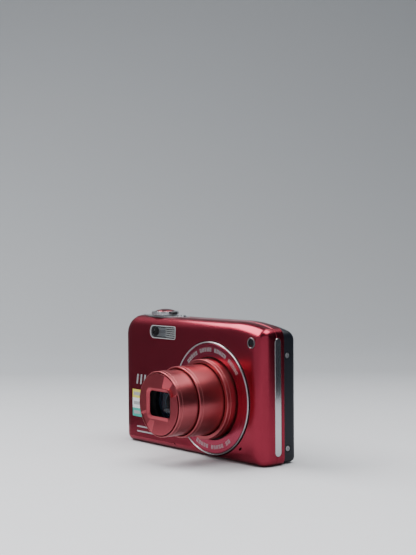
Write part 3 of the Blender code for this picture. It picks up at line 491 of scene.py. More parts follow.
def edge_gap(radius, depth):
    """How far in from a side its rounded edge is, at a depth behind the face."""
    gap = radius - math.sqrt(max(radius ** 2 - max(radius - depth, 0) ** 2, 0))
    return gap * (1 + EDGE_STRETCH * (gap / radius) ** 2)


def edge_depth(radius, gap):
    """How far behind the face a rounded edge is, at a distance in from its side."""
    low, high = 0.0, radius
    for _ in range(18):
        depth = (low + high) / 2
        low, high = (depth, high) if edge_gap(radius, depth) > gap else (low, depth)
    return low


def casing_rings(face_y, seam_y, rounding, base, wall, steps=14):
    """Outlines from the softened seam edge to the rounded face, each wall further in."""
    inward = 1 if face_y < seam_y else -1
    rim = [casing_ring(seam_y, even_inset(base, RIM if wall == 0 else wall)),
           casing_ring(seam_y - inward * RIM, even_inset(base, wall))]
    deepest = max(rounding.values()) - wall
    rings = rim if wall == 0 else rim[:1]
    for step in reversed(range(steps + 1)):
        depth = deepest * (1 - math.cos(math.pi / 2 * step / steps))
        sides = {}
        for side, radius in rounding.items():
            sides[side] = base[side] + wall + edge_gap(radius - wall, depth)
        rings.append(casing_ring(face_y + inward * (wall + depth), sides))
    return rings


def cup(face_y, seam_y, rounding, base):
    """A casing half: a face with rounded edges and walls that run to the seam."""
    outer = casing_rings(face_y, seam_y, rounding, base, 0)
    inner = casing_rings(face_y, seam_y, rounding, base, WALL, 6)
    return stack(list(reversed(inner)) + outer)


def pointed_oval(margin, low, high, steps=32):
    """The pointed oval of the control plate, seen from above."""
    x_limits, y_limits, _ = limits("control_plate")
    x, y = middle(x_limits), middle(y_limits)
    length = (x_limits[1] - x_limits[0]) / 2 + margin
    width = (y_limits[1] - y_limits[0]) / 2 + margin
    radius = (length ** 2 + width ** 2) / (2 * width)
    half = math.degrees(math.asin(length / radius))
    rear = arc((x, y + width - radius), radius, 90 - half, 90 + half, steps)
    front = arc((x, y - width + radius), radius, 270 - half, 270 + half, steps)
    return prism(rear[:-1] + front[:-1], low, high, "Z")


def lens_boss():
    """The raised ring around the lens: recess, land and a skirt that sweeps out to the front face."""
    rise = FRONT - RING_FACE
    reach = SKIRT_RADIUS - RING_OUTER
    skirt = [(RING_OUTER + reach * t / 12, FRONT - 0.01 - rise * (1 - t / 12) ** 2) for t in range(13)]
    floor = RING_FACE + 1.1
    profile = [(BOSS_BORE, floor), (RECESS_RADIUS, floor), (RECESS_RADIUS, RING_FACE + 0.08),
               (RECESS_RADIUS + 0.08, RING_FACE)] + skirt
    profile += [(SKIRT_RADIUS, FRONT + 0.6), (RING_OUTER, FRONT + 0.6), (RING_OUTER, FRONT + 2.3),
                (BOSS_BORE, FRONT + 2.3)]
    ring = turned(profile, LENS, "Y", SMOOTH)
    for vertex in ring.verts:
        x, y, z = vertex.co
        spread = (math.hypot(x - LENS[0], z - LENS[1]) - RING_OUTER) / reach
        if spread > 0 and y < FRONT:
            sink = max(edge_depth(FRONT_ROUNDING["right"], max(RIGHT - x, 0)),
                       edge_depth(FRONT_ROUNDING["bottom"], max(z - BOTTOM, 0)))
            vertex.co.y += sink * min(spread * 2, 1)
    outline = prism(casing_outline(even_inset(FLUSH, 0.55)), -14, 0, "Y")
    return edited("boss", ring, [("INTERSECT", outline)])


def flash_outline(margin):
    """The flash window from the front: its left end is round and its right end is squarer."""
    (left, right), _, (low, high) = limits("flash_window")
    left, right, low, high = left - margin, right + margin, low - margin, high + margin
    round_end, square_end = 2.6 + margin, 1.3 + margin
    return rounded([(left, low, round_end), (right, low, square_end), (right, high, square_end),
                    (left, high, round_end)])


def side_slot(margin, low_x, high_x, soften=0.0):
    """The upright slot of the side trim, seen from the right."""
    _, y, z = limits("side_trim")
    half = (y[1] - y[0]) / 2
    outline = capsule((middle(y), z[0] + half), (middle(y), z[1] - half), half + margin)
    return prism(outline, low_x, high_x, "X", soften)


def shared_openings():
    """The room in the front shell and the band for the parts on top and the side trim."""
    return [pointed_oval(0.18, PLATE_SEAT, TOP + 2),
            rod(BUTTON_HOLE, TOP - 4, TOP + 1, BUTTON, "Z"),
            rod(BUTTON_HOLE, TOP - 4, TOP + 1, POWER, "Z"),
            side_slot(GAP, RIGHT - 0.65, RIGHT + 1)]


def make_front_shell():
    """The satin red front cover."""
    door = limits("battery_door")
    openings = [prism(flash_outline(0.1), -12, -8, "Y"), rod(2.3, -12, -8, LAMP, "Y")] + shared_openings()
    openings.append(box((LEFT - 1, door[0][1] + GAP), (FRONT - 1, 3), (-1, door[2][1] + GAP)))
    shell = cup(FRONT, FRONT_SEAM, FRONT_ROUNDING, FLUSH)
    hole = rod(RECESS_RADIUS + 0.15, -12, -4, LENS, "Y", SMOOTH)
    microphone = prism(capsule((32.9, 5.9), (33.8, 6.5), 0.45, 8), -12, -8, "Y")
    piece("front_shell", shell, RED, CASE, "front_cover",
          cut(hole, *openings) + join(lens_boss()) + cut(microphone), sharp=28)


def make_band():
    """The red metal band between the covers, with softened edges and the ear for the door's pin."""
    near, far = BAND
    section = ((near, RIM), (near + RIM, 0), (far - RIM, 0), (far, RIM), (far, WALL), (near, WALL))
    rings = [casing_ring(y, even_inset(FLUSH, inward)) for y, inward in section]
    door = limits("battery_door")
    ear = box((EAR_LEFT, -9.4), (-0.1, far - 0.05), (0.6, door[2][1]))
    height = (-1, door[2][1] + GAP)
    openings = shared_openings()
    openings += [box((LEFT - 1, LEFT + 1.8), (-1.7, 1.3), grown(limits("strap_eyelet")[2], 0.3)),
                 rod(TRIPOD_HOLE, -1, 3, TRIPOD, "Z", 64),
                 box((LEFT - 1, EAR_LEFT), (-4, 3), height),
                 box((LEFT - 1, door[0][1] + GAP), (-4, -0.1), height),
                 prism(capsule((DOOR_AXIS[0] - 2, DOOR_AXIS[1]), DOOR_AXIS, 0.62, 10), -3, 2.5, "Y")]
    piece("frame_band", stack(rings, joined=True), RED, CASE, "middle_frame",
          join(ear) + cut(*openings))


def key_outline(node, margin):
    """The outline of a rear push button: a disc, or a pill when it is wider than it is tall."""
    x, _, z = limits(node)
    half = (z[1] - z[0]) / 2
    reach = (x[1] - x[0]) / 2 - half
    return capsule((middle(x) - reach, middle(z)), (middle(x) + reach + 0.001, middle(z)), half + margin)


# ---- rear keys, with how many sides the symbol on each has ----
REAR_KEYS = {"movie_button": 32, "mode_button": 4, "playback_button": 3, "menu_button": 4, "delete_button": 6}


def make_rear_shell():
    """The black moulded rear cover."""
    window = limits("lcd_window")
    panel = limits("lcd_panel")
    flap = limits("usb_cover")
    window_outline = rounded_box(grown(window[0], GAP), grown(window[2], GAP), 1.5)
    flap_outline = rounded_box(grown(flap[1], GAP), grown(flap[2], GAP), 0.6)
    openings = [prism(window_outline, window[1][0] - 0.15, BACK + 1, "Y"),
                box(grown(panel[0], -1.4), (7, BACK + 1), grown(panel[2], -1.2)),
                rod(8.75, 7, BACK + 1, SELECTOR, "Y", 96),
                pointed_oval(0.18, PLATE_SEAT, TOP + 2),
                rod(TRIPOD_HOLE, -1, 3, TRIPOD, "Z", 64),
                prism(flap_outline, LEFT, flap[0][1] + 2.5, "X")]
    openings += [prism(key_outline(key, 0.16), 7, BACK + 1, "Y") for key in REAR_KEYS]
    openings += [screw_sink(node) for node in SCREWS]
    shell = cup(BACK, REAR_SEAM, REAR_ROUNDING, REAR_INSET)
    piece("rear_shell", shell, BLACK, CASE, "rear_cover", cut(*openings), sharp=28)


# ---- casing screws: the axis of each, and which way it goes in ----
SCREWS = {"rear_screw_right_upper": ("X", -1), "rear_screw_right_lower": ("X", -1),
          "rear_screw_left_upper": ("X", 1), "rear_screw_left_lower": ("X", 1),
          "base_screw_left": ("Z", 1), "base_screw_right": ("Z", 1)}


def screw_place(node):
    """A screw's axis, its centre seen along it, its top face and which way it goes in."""
    axis, inward = SCREWS[node]
    ends = limits(node)["XYZ".index(axis)]
    return axis, centre_of(node, axis), ends[0] if inward > 0 else ends[1], inward


def turned_screw(node, profile):
    """A shape about a screw's axis, from a profile of (radius, depth below the screw's top face)."""
    axis, centre, top, inward = screw_place(node)
    return turned([(radius, top + inward * depth) for radius, depth in profile], centre, axis, 32)


def screw_sink(node):
    """The stepped hole for a casing screw."""
    return turned_screw(node, [(0, -1), (1.32, -1), (1.32, 0.52), (0.7, 0.52), (0.7, 1.9), (0, 1.9)])


def make_screws():
    """Small pan-head screws with a cross recess."""
    profile = [(0, 0.9), (0.34, 0.9), (0.40, 0.08), (0.5, 0.0), (0.95, 0.0), (1.1, 0.14), (1.15, 0.3),
               (1.15, 0.5), (0.6, 0.5), (0.6, 2.7), (0, 2.7)]
    for node in SCREWS:
        axis, centre, top, _ = screw_place(node)
        depth = grown((top, top), 0.55)
        grooves = []
        for long, thin in ((0.72, 0.17), (0.17, 0.72)):
            first, second = grown((centre[0], centre[0]), long), grown((centre[1], centre[1]), thin)
            grooves.append(box(depth, first, second) if axis == "X" else box(first, second, depth))
        piece(node + "_head", turned_screw(node, profile), SATIN, CASE, node, cut(*grooves))


def make_side_trim():
    """The bright strip let into the right side, slightly domed."""
    x, _, _ = limits("side_trim")
    piece("side_strip", side_slot(0, x[0], x[1], 0.22), CHROME, CASE, "side_trim")


def make_eyelet():
    """The bar that a wrist cord loops around."""
    x, y, z = limits("strap_eyelet")
    outer = prism(rounded_box(x, z, 0.9), y[0], y[1], "Y", 0.25)
    window = prism(rounded_box((x[0] + 1.3, x[1] - 0.8), grown(z, -1.2), 0.6), y[0] - 1, y[1] + 1, "Y")
    piece("cord_bar", outer, CHROME, CASE, "strap_eyelet", cut(window))


def make_tripod_socket():
    """The threaded socket in the bottom, with its thread cut as fine rings."""
    low, high = limits("tripod_socket")[2]
    pitch = 1.27
    minor, major = 3.18, 3.63
    steps = int((high - low - 0.4) / (pitch / 2))
    thread = [(minor if k % 2 else major, low + 0.2 + k * pitch / 2) for k in range(steps + 1)]
    profile = [(3.5, low), (4.1, low), (4.2, low + 0.1), (4.2, 2.4), (4.6, 2.4), (4.6, high), (3.3, high)]
    piece("tripod_bush", turned(profile + thread[::-1], TRIPOD, "Z", 72), STEEL, CASE,
          "tripod_socket", sharp=50)


# ---- front face ----

def make_flash():
    """The flash: a clear pane, a lit trough with its tube, and ribbed frosting on the right."""
    (left, right), (front, rear), (low, high) = limits("flash_window")
    pane = prism(flash_outline(0), front, front + 0.5, "Y", 0.12)
    piece("flash_pane", pane, CLEAR, CASE, "flash_window")
    split = left + (right - left) * 0.62
    opening = prism(rounded_box((left + 1.1, split), (low + 0.9, high - 0.9), 1.6), front, rear + 1, "Y")
    surround = prism(flash_outline(-0.05), front + 0.9, front + 1.4, "Y")
    piece("flash_surround", surround, GLOSS, CASE, None, cut(opening))
    rim = prism(flash_outline(-0.02), front + 0.1, front + 0.6, "Y")
    hole = prism(flash_outline(-0.34), front - 1, front + 2, "Y")
    piece("flash_rim", rim, PEARL, CASE, None, cut(hole))
    pitch = (high - low - 1.2) / 5
    ribs = []
    for k in range(5):
        height = (low + 0.78 + pitch * k, low + 0.42 + pitch * (k + 1))
        rib = rounded_box((split - 0.6, right - 0.7), height, 0.15)
        ribs.append(prism(rib, front + 0.56, front + 0.70, "Y"))
    piece("flash_frosting", gathered(ribs), FROST, CASE)
    x, y, z = limits("flash_reflector")
    trough = [(y[0], z[0]), (y[1], z[0]), (y[1], z[1]), (y[0], z[1])]
    trough += arc((y[0] - 0.2, middle(z)), 2.2, 62, -62, 24)
    piece("flash_trough", prism(trough, x[0], x[1], "X"), MIRROR, CASE, "flash_reflector")
    left, right = limits("flash_tube")[0]
    tube = [(0, left), (0.45, left), (0.6, left + 0.15), (0.6, right - 0.15), (0.45, right), (0, right)]
    piece("flash_lamp", turned(tube, centre_of("flash_tube", "X"), "X", 32), CLEAR, CASE,
          "flash_tube")


def make_lamp():
    """The focus lamp: a domed window inside a fine dark ring."""
    front, rear = limits("af_lamp_window")[1]
    dome = [(0, front + 0.05)] + [(1.75 * k / 6, front + 0.05 + 0.25 * (k / 6) ** 2) for k in range(1, 7)]
    dome += [(1.75, rear), (0, rear)]
    piece("focus_lamp", turned(dome, LAMP, "Y", 64), DARK_PANE, CASE, "af_lamp_window")
    ring = [(1.8, front + 0.12), (1.9, front + 0.02), (2.1, front + 0.02), (2.2, front + 0.12),
            (2.2, rear), (1.8, rear)]
    piece("focus_lamp_ring", turned(ring, LAMP, "Y", 64), STEEL, CASE)
    bowl = [(0, rear - 0.02), (0.8, rear - 0.1), (1.5, rear - 0.5), (1.7, rear - 0.5), (1.7, rear + 0.3),
            (0, rear + 0.3)]
    piece("focus_lamp_bowl", turned(bowl, LAMP, "Y", 48), SATIN, CASE)


def make_ring():
    """The ring plate around the lens, its bright outer edge and the dark seal inside it."""
    front, rear = limits("lens_ring_plate")[1]
    inner, outer = 17.4, 22.95
    profile = [(inner, rear), (inner, front + 0.15), (inner + 0.15, front), (outer - 0.1, front),
               (outer, front + 0.1), (outer, rear)]
    piece("ring_plate", turned(profile, LENS, "Y", SMOOTH), PLATE, CASE, "lens_ring_plate")
    front, rear = limits("lens_ring_trim")[1]
    edge = [(23.12, rear), (23.12, front + 0.3), (23.3, front + 0.05), (23.42, front), (23.54, front + 0.05),
            (23.7, front + 0.3), (23.7, rear)]
    piece("ring_edge", turned(edge, LENS, "Y", SMOOTH), SATIN, CASE, "lens_ring_trim")
    seal = [(16.78, -9.4), (17.7, -9.4), (17.7, -9.2), (16.95, -9.2), (16.78, -9.3)]
    piece("light_seal", turned(seal, LENS, "Y", SMOOTH), INNER_BLACK, CASE)


def polar_mark(radius, angle, long, wide, y):
    """A short stroke that points away from the lens, at an angle in degrees."""
    turn = math.radians(angle)
    out = Vector((math.cos(turn), math.sin(turn)))
    side = Vector((-out.y, out.x))
    centre = Vector(LENS) + out * radius
    corners = [centre + out * (a * long / 2) + side * (b * wide / 2)
               for a, b in ((-1, 1), (-1, -1), (1, -1), (1, 1))]
    return prism([tuple(corner) for corner in corners], y - 0.03, y + 0.02, "Y")


def gathered(shapes):
    """Several shapes that don't touch, gathered into one."""
    whole = bmesh.new()
    for shape in shapes:
        mesh = bpy.data.meshes.new("part")
        shape.to_mesh(mesh)
        shape.free()
        whole.from_mesh(mesh)
        bpy.data.meshes.remove(mesh)
    return whole


def make_ring_marks():
    """A plain scale around the ring: pairs of fine strokes, in groups."""
    marks = []
    for start, end in ((134, 31), (-115, -55)):
        count = int(abs(end - start) / 4.3)
        for k in range(count + 1):
            angle = start + (end - start) * k / count
            if k % 6 != 5:
                marks += [polar_mark(20.4, angle + lean, 1.7, 0.32, RING_FACE) for lean in (-1.0, 1.0)]
    piece("ring_scale", gathered(marks), PRINT, CASE)


def make_front_marks():
    """The printed bars and lines on the front, and a plain three-colour sticker."""
    y = FRONT
    print_depth = (y - 0.04, y + 0.05)
    bars = [prism([(x, 26.7), (x + 1.1, 26.7), (x + 1.9, 31.2), (x + 0.8, 31.2)], *print_depth, "Y")
            for x in (-37.6, -34.9, -32.2, -29.5, -26.8, -24.1)]
    lines = [prism(capsule((-37.0, z), (-20.0, z), 0.32, 10), *print_depth, "Y") for z in (5.2, 7.4)]
    for name, marks in (("front_bars", bars), ("front_lines", lines)):
        piece(name, gathered(marks), PRINT, CASE)
    x = (-40.5, -28.2)
    bands = (("yellow", (0.66, 0.62, 0.10), (20.2, 24.1)), ("white", (0.70, 0.72, 0.74), (15.6, 20.2)),
             ("teal", (0.03, 0.40, 0.33), (11.8, 15.6)))
    for name, colour, z in bands:
        sheet = box(x, (y - 0.06, y + 0.02), z)
        piece("sticker_" + name, sheet, print_finish("sticker_" + name, colour), CASE)
    blocks = [box((x[0] + 0.8, x[0] + 5.6), (y - 0.07, y - 0.05), grown((middle(z), middle(z)), 0.75))
              for _, _, z in bands]
    piece("sticker_blocks", gathered(blocks), GREY_PRINT, CASE)


# ---- lens ----

def make_barrels():
    """The three barrels: turned walls with a bright chamfer, a dark groove and a rolled front lip."""
    lip = 0.35
    for name, inner in (("outer", 15.0), ("middle", 13.8), ("front", 12.8)):
        node = "barrel_" + name
        x, (front, rear), _ = limits(node)
        outer = (x[1] - x[0]) / 2
        profile = [(inner, rear), (inner, front + 0.5), (inner + 0.1, front + 0.05), (inner + 0.2, front),
                   (outer - lip, front), (outer - 0.12, front + lip * 0.35), (outer, front + lip),
                   (outer, front + 1.5), (outer - 0.12, front + 1.58), (outer - 0.12, front + 1.78),
                   (outer, front + 1.86), (outer, rear - 0.2), (outer - 0.2, rear)]
        piece(node + "_wall", turned(profile, LENS, "Y", SMOOTH), BARREL, name + "_barrel",
              node, sharp=40)


def opening_outline(margin):
    """The lens opening from the front: a rectangle with rounded corners."""
    width = grown((LENS[0], LENS[0]), 6.7 + margin)
    height = grown((LENS[1], LENS[1]), 5.15 + margin)
    return rounded_box(width, height, 1.8 + margin / 2, 24)


def past_ramp(angle):
    """How many degrees past the start of a ramp an angle is, going clockwise."""
    return min((start - angle) % 360 for start in (70.0, -110.0))


def ramp_depth(angle):
    """How far the bezel's face is sunk at an angle: down a long ramp, along, and steeply up."""
    past = past_ramp(angle)
    if past < STEP_TURN:
        return RAMP_DEPTH * min(past / RAMP_TURN, 1)
    return RAMP_DEPTH * max(RISE_TURN - past, 0) / (RISE_TURN - STEP_TURN)


def make_bezel():
    """The front cap of the lens, with its flared opening and two curved steps cut in its face."""
    front = limits("lens_bezel")[1][0]
    rear = front + 1.1
    outer = 12.5
    turns = [math.tau * k / BEZEL_SPOKES for k in range(BEZEL_SPOKES)]
    bore, mouth = (sample_outline(opening_outline(margin), turns) for margin in (0, 1.1))
    rings = [[(x, y, z) for x, z in line]
             for line, y in ((bore, rear), (bore, rear - 0.25), (mouth, front + 0.04))]
    for share in (0.015, 0.10, 0.12, 0.55, 1.0):
        ring = []
        for turn, (x, z) in zip(turns, mouth):
            start = math.hypot(x - LENS[0], z - LENS[1])
            radius = start + (outer - start) * share
            depth = ramp_depth(math.degrees(turn)) if share > 0.11 else 0.0
            ring += ring_about(LENS, radius, [turn], front + depth, "Y")
        rings.append(ring)
    rings.append(ring_about(LENS, outer + 0.05, turns, rear, "Y"))
    cap = piece("bezel_face", stack(rings, joined=True), BEZEL, "front_barrel", "lens_bezel",
                sharp=6)
    # The ramp faces take the lighter red, as a painted highlight.
    cap.data.materials.append(LIT_FACET)
    for face in cap.data.polygons:
        place = face.center / MM
        across, up = place.x - LENS[0], place.z - LENS[1]
        past = past_ramp(math.degrees(math.atan2(up, across)))
        on_ramp = past < RAMP_TURN or STEP_TURN < past < RISE_TURN
        if on_ramp and -0.998 < face.normal.y < -0.9 and math.hypot(across, up) < outer:
            face.material_index = 1


def sample_outline(outline, turns):
    """Where rays from the lens axis cross an outline, at given angles."""
    polar = sorted((math.atan2(z - LENS[1], x - LENS[0]) % math.tau, x, z) for x, z in outline)
    points = []
    for turn in turns:
        ray = Vector((math.cos(turn), math.sin(turn)))
        after = next((i for i, p in enumerate(polar) if p[0] > turn), 0)
        first = Vector(polar[after - 1][1:]) - Vector(LENS)
        edge = Vector(polar[after][1:]) - Vector(LENS) - first
        cross = ray.x * edge.y - ray.y * edge.x
        reach = (first.x * edge.y - first.y * edge.x) / cross if abs(cross) > 1e-9 else first.length
        points.append((LENS[0] + ray.x * reach, LENS[1] + ray.y * reach))
    return points


def make_optics():
    """The stepped black holder, the coated glasses and the mount rings behind the front one."""
    front, rear = limits("front_lens_holder")[1]
    steps = [(12.5, rear), (12.5, front)]
    for k, radius in enumerate((11.2, 10.5, 9.8, 9.1, 8.7)):
        depth = front + 0.1 + 0.45 * k
        steps += [(radius + 0.12, depth), (radius, depth + 0.05), (radius, depth + 0.42)]
    steps += [(8.6, rear)]
    piece("front_holder", turned(steps, LENS, "Y"), INNER_BLACK, "front_barrel",
          "front_lens_holder", sharp=50)
    rear = limits("front_lens")[1][1]
    mounts = []
    for outer, wide in ((8.3, 0.9), (6.9, 0.35), (6.0, 0.5), (4.9, 0.25), (4.1, 0.4)):
        profile = [(outer, rear + 0.04), (outer, rear + 0.24), (outer - wide, rear + 0.24),
                   (outer - wide, rear + 0.04)]
        mounts.append(turned(profile, LENS, "Y"))
    piece("glass_mount_rings", gathered(mounts), GREY_PRINT, "front_barrel")
    for name, body, radius, bulge, hollow in (("front", "front_barrel", 8.35, 1.5, 0.0),
                                              ("variator", "middle_barrel", 7.0, 0.4, 0.4),
                                              ("focus", "focus_group", 5.0, 0.6, 0.0)):
        front, rear = limits(name + "_lens")[1]
        glass = lens_shape(radius, front, bulge, rear, hollow)
        piece(name + "_glass", glass, COATED, body, name + "_lens")


def lens_shape(radius, front, bulge, rear, hollow):
    """A round glass: its front face bulges forward, and its rear face may be hollow."""
    shares = [k / 14 for k in range(15)]
    face = [(radius * share, front + bulge * share ** 2) for share in shares]
    back = [(radius * share, rear - hollow * (1 - share ** 2)) for share in reversed(shares)]
    return turned(face + back, LENS, "Y", 72)


# ---- doors ----

def make_battery_door():
    """The door that wraps the lower left corner, cut from the same rounded casing."""
    _, (_, rear), (_, top) = limits("battery_door")
    outer = casing_rings(FRONT, rear, FRONT_ROUNDING, FLUSH, 0)
    end = arc(DOOR_AXIS, 1.42, -90, 90, 24)
    zone = prism([(LEFT - 1, -1), (DOOR_AXIS[0], -1)] + end + [(LEFT - 1, top)], FRONT - 1, rear + 1, "Y")
    hollow = box((LEFT + WALL, DOOR_AXIS[0] - 1.4), (FRONT + 3.5, 3), (WALL, 4))
    ear_room = box((-17.6, 0), (-0.4, 3), (-1, 4))
    edits = [("INTERSECT", zone)] + cut(hollow, ear_room, rod(0.6, -7.1, 3, DOOR_AXIS, "Y", 24))
    piece("door_shell", stack(outer), RED, "door", "battery_door", edits, sharp=28)


def make_usb_flap():
    """The soft flap over the connector."""
    x, y, z = limits("usb_cover")
    flap = prism(rounded_box(y, z, 0.5), x[0], x[1], "X", 0.15)
    notch = rod(0.7, x[0] - 0.35, x[0] + 0.25, (middle(y), z[1] - 1.1), "X", 24)
    piece("usb_flap_cover", flap, BLACK, "usb_flap", "usb_cover", cut(notch))


# ---- controls ----

def make_top():
    """The bright control plate, the ribbed zoom ring, the shutter button and the power button."""
    plate = pointed_oval(0, *limits("control_plate")[2], 48)
    piece("top_plate", plate, SATIN, CASE, "control_plate",
          cut(rod(1.9, 56, 59, BUTTON, "Z"), rod(BUTTON_HOLE, 56, 59, POWER, "Z", 64)))
    low, high = limits("zoom_ring")[2]
    ring = [(4.75, low), (5.9, low), (6.1, low + 0.15), (6.15, low + 0.45), (6.15, high - 0.5),
            (6.0, high - 0.12), (5.7, high), (5.1, high), (4.75, high - 0.3)]
    x, y = BUTTON
    tab = prism(rounded_box((x + 4.9, x + 7.0), (y - 1.6, y + 1.6), 0.5), low + 0.5, high - 0.2, "Z", 0.2)
    ribs = []
    for angle in range(0, 360, 6):
        if abs((angle + 180) % 360 - 180) > 22:
            ribs.append(rod(0.17, low + 0.35, high - 0.45, arc(BUTTON, 6.2, angle, angle, 1)[0], "Z", 8))
    piece("zoom_ring_grip", turned(ring, BUTTON, "Z"), CHROME, "zoom_lever", "zoom_ring",
          cut(*ribs), sharp=40)
    piece("zoom_ring_tab", tab, GLOSS, "zoom_lever")
    low, high = limits("shutter_button")[2]
    cap = [(4.4 * k / 14, high - 0.85 * (k / 14) ** 2.4) for k in range(13)]
    cap += [(4.25, high - 0.85), (4.4, high - 1.0), (4.4, high - 1.3), (3.4, high - 1.3), (3.2, high - 0.62),
            (1.4, high - 0.4), (1.4, low), (0, low)]
    piece("shutter_cap", turned(cap, BUTTON, "Z"), BUTTON_RED, "shutter", "shutter_button")
    low, high = limits("power_button")[2]
    power = [(0, high - 0.12), (0.9, high - 0.1), (1.2, high), (1.5, high - 0.03), (1.8, high - 0.2),
             (1.88, high - 0.5), (1.88, high - 1.0), (1.3, high - 1.0), (1.3, low), (0, low)]
    piece("power_cap", turned(power, POWER, "Z", 64), CHROME, "power", "power_button")


def make_rear_controls():
    """The glossy rear keys with plain symbols, the selector ring and its centre key."""
    for node, sides in REAR_KEYS.items():
        low, high = limits(node)[1]
        body = node.replace("_button", "_key")
        key = prism(key_outline(node, 0), low, high, "Y", 0.3)
        piece(node + "_cap", key, GLOSS, body, node)
        mark = rod(0.95, high - 0.05, high + 0.03, centre_of(node, "Y"), "Y", sides)
        colour = print_finish("movie_dot", (0.5, 0.02, 0.02)) if node == "movie_button" else GREY_PRINT
        piece(node + "_mark", mark, colour, body)
    low, high = limits("multi_selector")[1]
    ring = [(4.3, low), (9.25, low), (9.25, low + 0.4), (8.5, low + 0.4), (8.5, high - 0.5),
            (8.35, high - 0.15), (8.0, high), (7.0, high - 0.12), (5.6, high - 0.2), (4.7, high - 0.12),
            (4.45, high - 0.2), (4.3, high - 0.5)]
    piece("selector_ring", turned(ring, SELECTOR, "Y"), GLOSS, "selector", "multi_selector")
    dots = [prism(arc(centre, 0.35, 0, 337.5, 15), high - 0.2, high - 0.1, "Y")
            for centre in arc(SELECTOR, 6.4, 0, 270, 3)]
    piece("selector_marks", gathered(dots), GREY_PRINT, "selector")
    low, high = limits("ok_button")[1]
    cap = [(0, low), (3.65, low), (3.65, high - 0.6), (3.5, high - 0.25), (3.0, high - 0.05), (1.5, high),
           (0, high)]
    piece("ok_cap", turned(cap, SELECTOR, "Y", 72), GLOSS, "ok_key", "ok_button")


def make_screen():
    """The screen: a dark panel behind a glossy pane with a printed black border."""
    x, y, z = limits("lcd_window")
    pane = prism(rounded_box(x, z, 1.5), y[0] + 0.3, y[1], "Y", 0.12)
    piece("screen_pane", pane, DARK_PANE, CASE, "lcd_window")
    panel_x, _, panel_z = limits("lcd_panel")
    border = prism(rounded_box(grown(x, -0.1), grown(z, -0.1), 1.4), y[0], y[0] + 0.2, "Y")
    opening = box(grown(panel_x, -1.6), (y[0] - 1, y[1] + 1), grown(panel_z, -1.5))
    piece("screen_border", border, INNER_BLACK, CASE, None, cut(opening))


# ---- carried nodes ----

def refinish():
    """Procedural finishes for the nodes that are carried over as they are."""
    carried = ((BLACK, ("flash_capacitor", "battery_holder")), (SCREEN, ("lcd_panel",)),
               (STEEL, ("shutter_spring", "zoom_motor", "selector_gimbal", "door_hinge_pin")),
               (WRAP, ("battery", "memory_card")), (BOARD, ("main_board",)), (SATIN, ("usb_connector",)),
               (INNER_BLACK, ("lens_housing", "variator_cell", "focus_cell", "blade_upper", "blade_lower")),
               (BRASS, ("cam_ring", "idler_gear", "motor_gear")), (SENSOR, ("image_sensor",)))
    for finish, nodes in carried:
        for node in nodes:
            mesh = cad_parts[node].data
            mesh.materials.clear()
            mesh.materials.append(finish)


# ---- stage ----

def paper_painted_shade():
    """Pale paper with painted shade that deepens with distance along the view."""
    finish, tree, shader = blank_finish("paper_painted_shade")
    place = add_node(tree, "TexCoord").outputs["Object"]
    # depth is painted shade: the paper's colour darkens from the near floor to the far wall.
    depth = span(tree, dot_product(tree, place, (*VIEW, 0)), 0.0, 1.0, -0.20, 0.32)
    shade = maths(tree, "ADD", maths(tree, "MULTIPLY", noise(tree, place_coords(tree), 0.05), 0.04), depth)
    colour = blend_colour(tree, shade, (0.84, 0.84, 0.86), (0.31, 0.32, 0.335))
    feed(tree, shader, {"Base Color": colour, "Roughness": 0.75})
    return finish


def make_stage():
    """A pale sweep: a floor that curves up into a wall behind the camera."""
    bend_start, bend, reach, half_width = 500.0, 900.0, 2600.0, 3000.0
    profile = [(-reach, 0.0), (bend_start, 0.0)]
    profile += [(bend_start + bend * math.sin(math.radians(t)), bend * (1 - math.cos(math.radians(t))))
                for t in range(6, 91, 6)]
    profile.append((bend_start + bend, reach))
    view = Vector(VIEW)
    side = Vector((-view.y, view.x))
    shape = bmesh.new()
    rows = []
    for along, up in profile:
        edges = [view * along + side * across for across in (-half_width, half_width)]
        rows.append([shape.verts.new((*place, up - 0.02)) for place in edges])
    for near, far in zip(rows, rows[1:]):
        shape.faces.new((near[0], near[1], far[1], far[0]))
    sweep = new_object("sweep", shape)
    sweep.data.materials.append(paper_painted_shade())
    sweep.data.shade_smooth()


def area_light(name, place, target, size, power):
    """A soft rectangular light aimed at a point."""
    data = bpy.data.lights.new(name, "AREA")
    data.shape = "RECTANGLE"
    data.size, data.size_y = size
    data.energy = power
    light = bpy.data.objects.new(name, data)
    light.location = place
    light.rotation_euler = (Vector(target) - Vector(place)).to_track_quat("-Z", "Y").to_euler()
    bpy.context.scene.collection.objects.link(light)


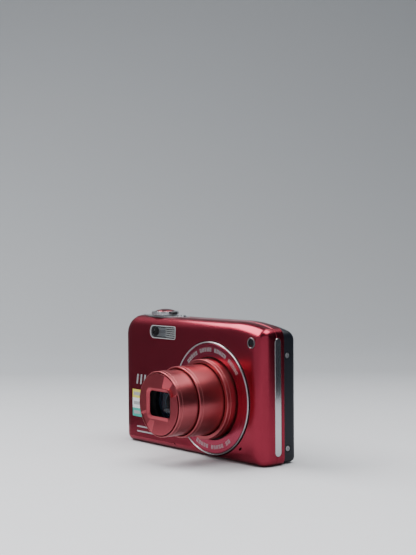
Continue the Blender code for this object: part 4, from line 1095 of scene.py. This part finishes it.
def make_flags():
    """Cards around the camera, seen only in reflections; those under its corner and on the floor are painted
    shade on the floor near it.
    """
    dark = surface("flag_dark", (0.006, 0.008, 0.012), (0.010, 0.012, 0.018), 0.0, 0.85)
    dim = surface("flag_dim", (0.17, 0.17, 0.18), (0.20, 0.20, 0.21), 0.0, 0.85)
    grey = surface("flag_grey", (0.38, 0.38, 0.40), (0.42, 0.42, 0.44), 0.0, 0.85)
    for name, finish, first, second, lean, height in (
            ("flag_right", dark, (9.1, 347.0), (343.3, -51.3), (0, 0), 280),
            ("flag_left", dim, (-96.0, 31.0), (-38.0, -130.0), (0, 0), 125),
            ("flag_front", grey, (-38.0, -130.0), (160.0, -360.0), (0, 0), 200),
            ("flag_near", grey, (160.0, -360.0), (343.3, -51.3), (0, 0), 280),
            # The next two are darker cards on the floor: painted shade, seen only in reflections.
            ("flag_corner_painted_shade", dim, (-75.0, -11.0), (-5.0, -14.0), (-60, -70), 0.4),
            ("flag_floor_painted_shade", grey, (-500.0, -500.0), (500.0, -500.0), (0, 1000), 0.3)):
        shape = bmesh.new()
        corners = [(*first, 0.3), (*second, 0.3), (second[0] + lean[0], second[1] + lean[1], height),
                   (first[0] + lean[0], first[1] + lean[1], height)]
        shape.faces.new([shape.verts.new(corner) for corner in corners])
        flag = new_object(name, shape)
        flag.data.materials.append(finish)
        for ray in ("camera", "diffuse", "shadow", "transmission"):
            setattr(flag, "visible_" + ray, False)


def make_lights():
    """Soft studio light: broad panels overhead, smaller ones to the left, behind and in front."""
    area_light("ceiling_panel", (-0.56, -0.38, 0.78), (-0.56, -0.379, 0), (0.60, 0.85), 14.5)
    area_light("top_panel", (0.25, 0.05, 1.1), (0, 0, 0), (0.7, 0.7), 10.5)
    area_light("back_panel", (0.0, 0.5, 0.9), (0, 0, 0), (0.8, 0.45), 1.6)
    area_light("side_panel", (-0.95, -0.25, 0.72), (0, 0, 0.03), (0.45, 0.22), 1.6)
    area_light("front_panel", (-0.28, -1.1, 0.22), (0, 0, 0.03), (0.5, 0.6), 0.6)
    world = bpy.data.worlds.new("studio")
    world.use_nodes = True
    tree = world.node_tree
    strength = span(tree, add_node(tree, "LightPath").outputs["Is Glossy Ray"], 0.72, 0.12)
    feed(tree, tree.nodes["Background"], {"Color": (0.60, 0.63, 0.66), "Strength": strength})
    bpy.context.scene.world = world


def make_camera():
    """The camera: a slightly raised three-quarter view of the lens side from the right."""
    data = bpy.data.cameras.new("view")
    data.sensor_width = 36.0
    data.lens = 70.9
    data.clip_end = 20
    camera = bpy.data.objects.new("view", data)
    camera.location = (0.36455, -0.30356, 0.08640)
    right = (0.64220, 0.76650, -0.00740)
    up = (-0.01318, 0.02070, 0.99970)
    back = (0.76642, -0.64191, 0.02339)
    camera.rotation_euler = Matrix((right, up, back)).transposed().to_euler()
    bpy.context.scene.collection.objects.link(camera)
    bpy.context.scene.camera = camera


make_front_shell()
make_band()
make_rear_shell()
make_screws()
make_side_trim()
make_eyelet()
make_tripod_socket()
make_flash()
make_lamp()
make_ring()
make_ring_marks()
make_front_marks()
make_barrels()
make_bezel()
make_optics()
make_battery_door()
make_usb_flap()
make_top()
make_rear_controls()
make_screen()
refinish()
make_stage()
make_flags()
make_lights()
make_camera()
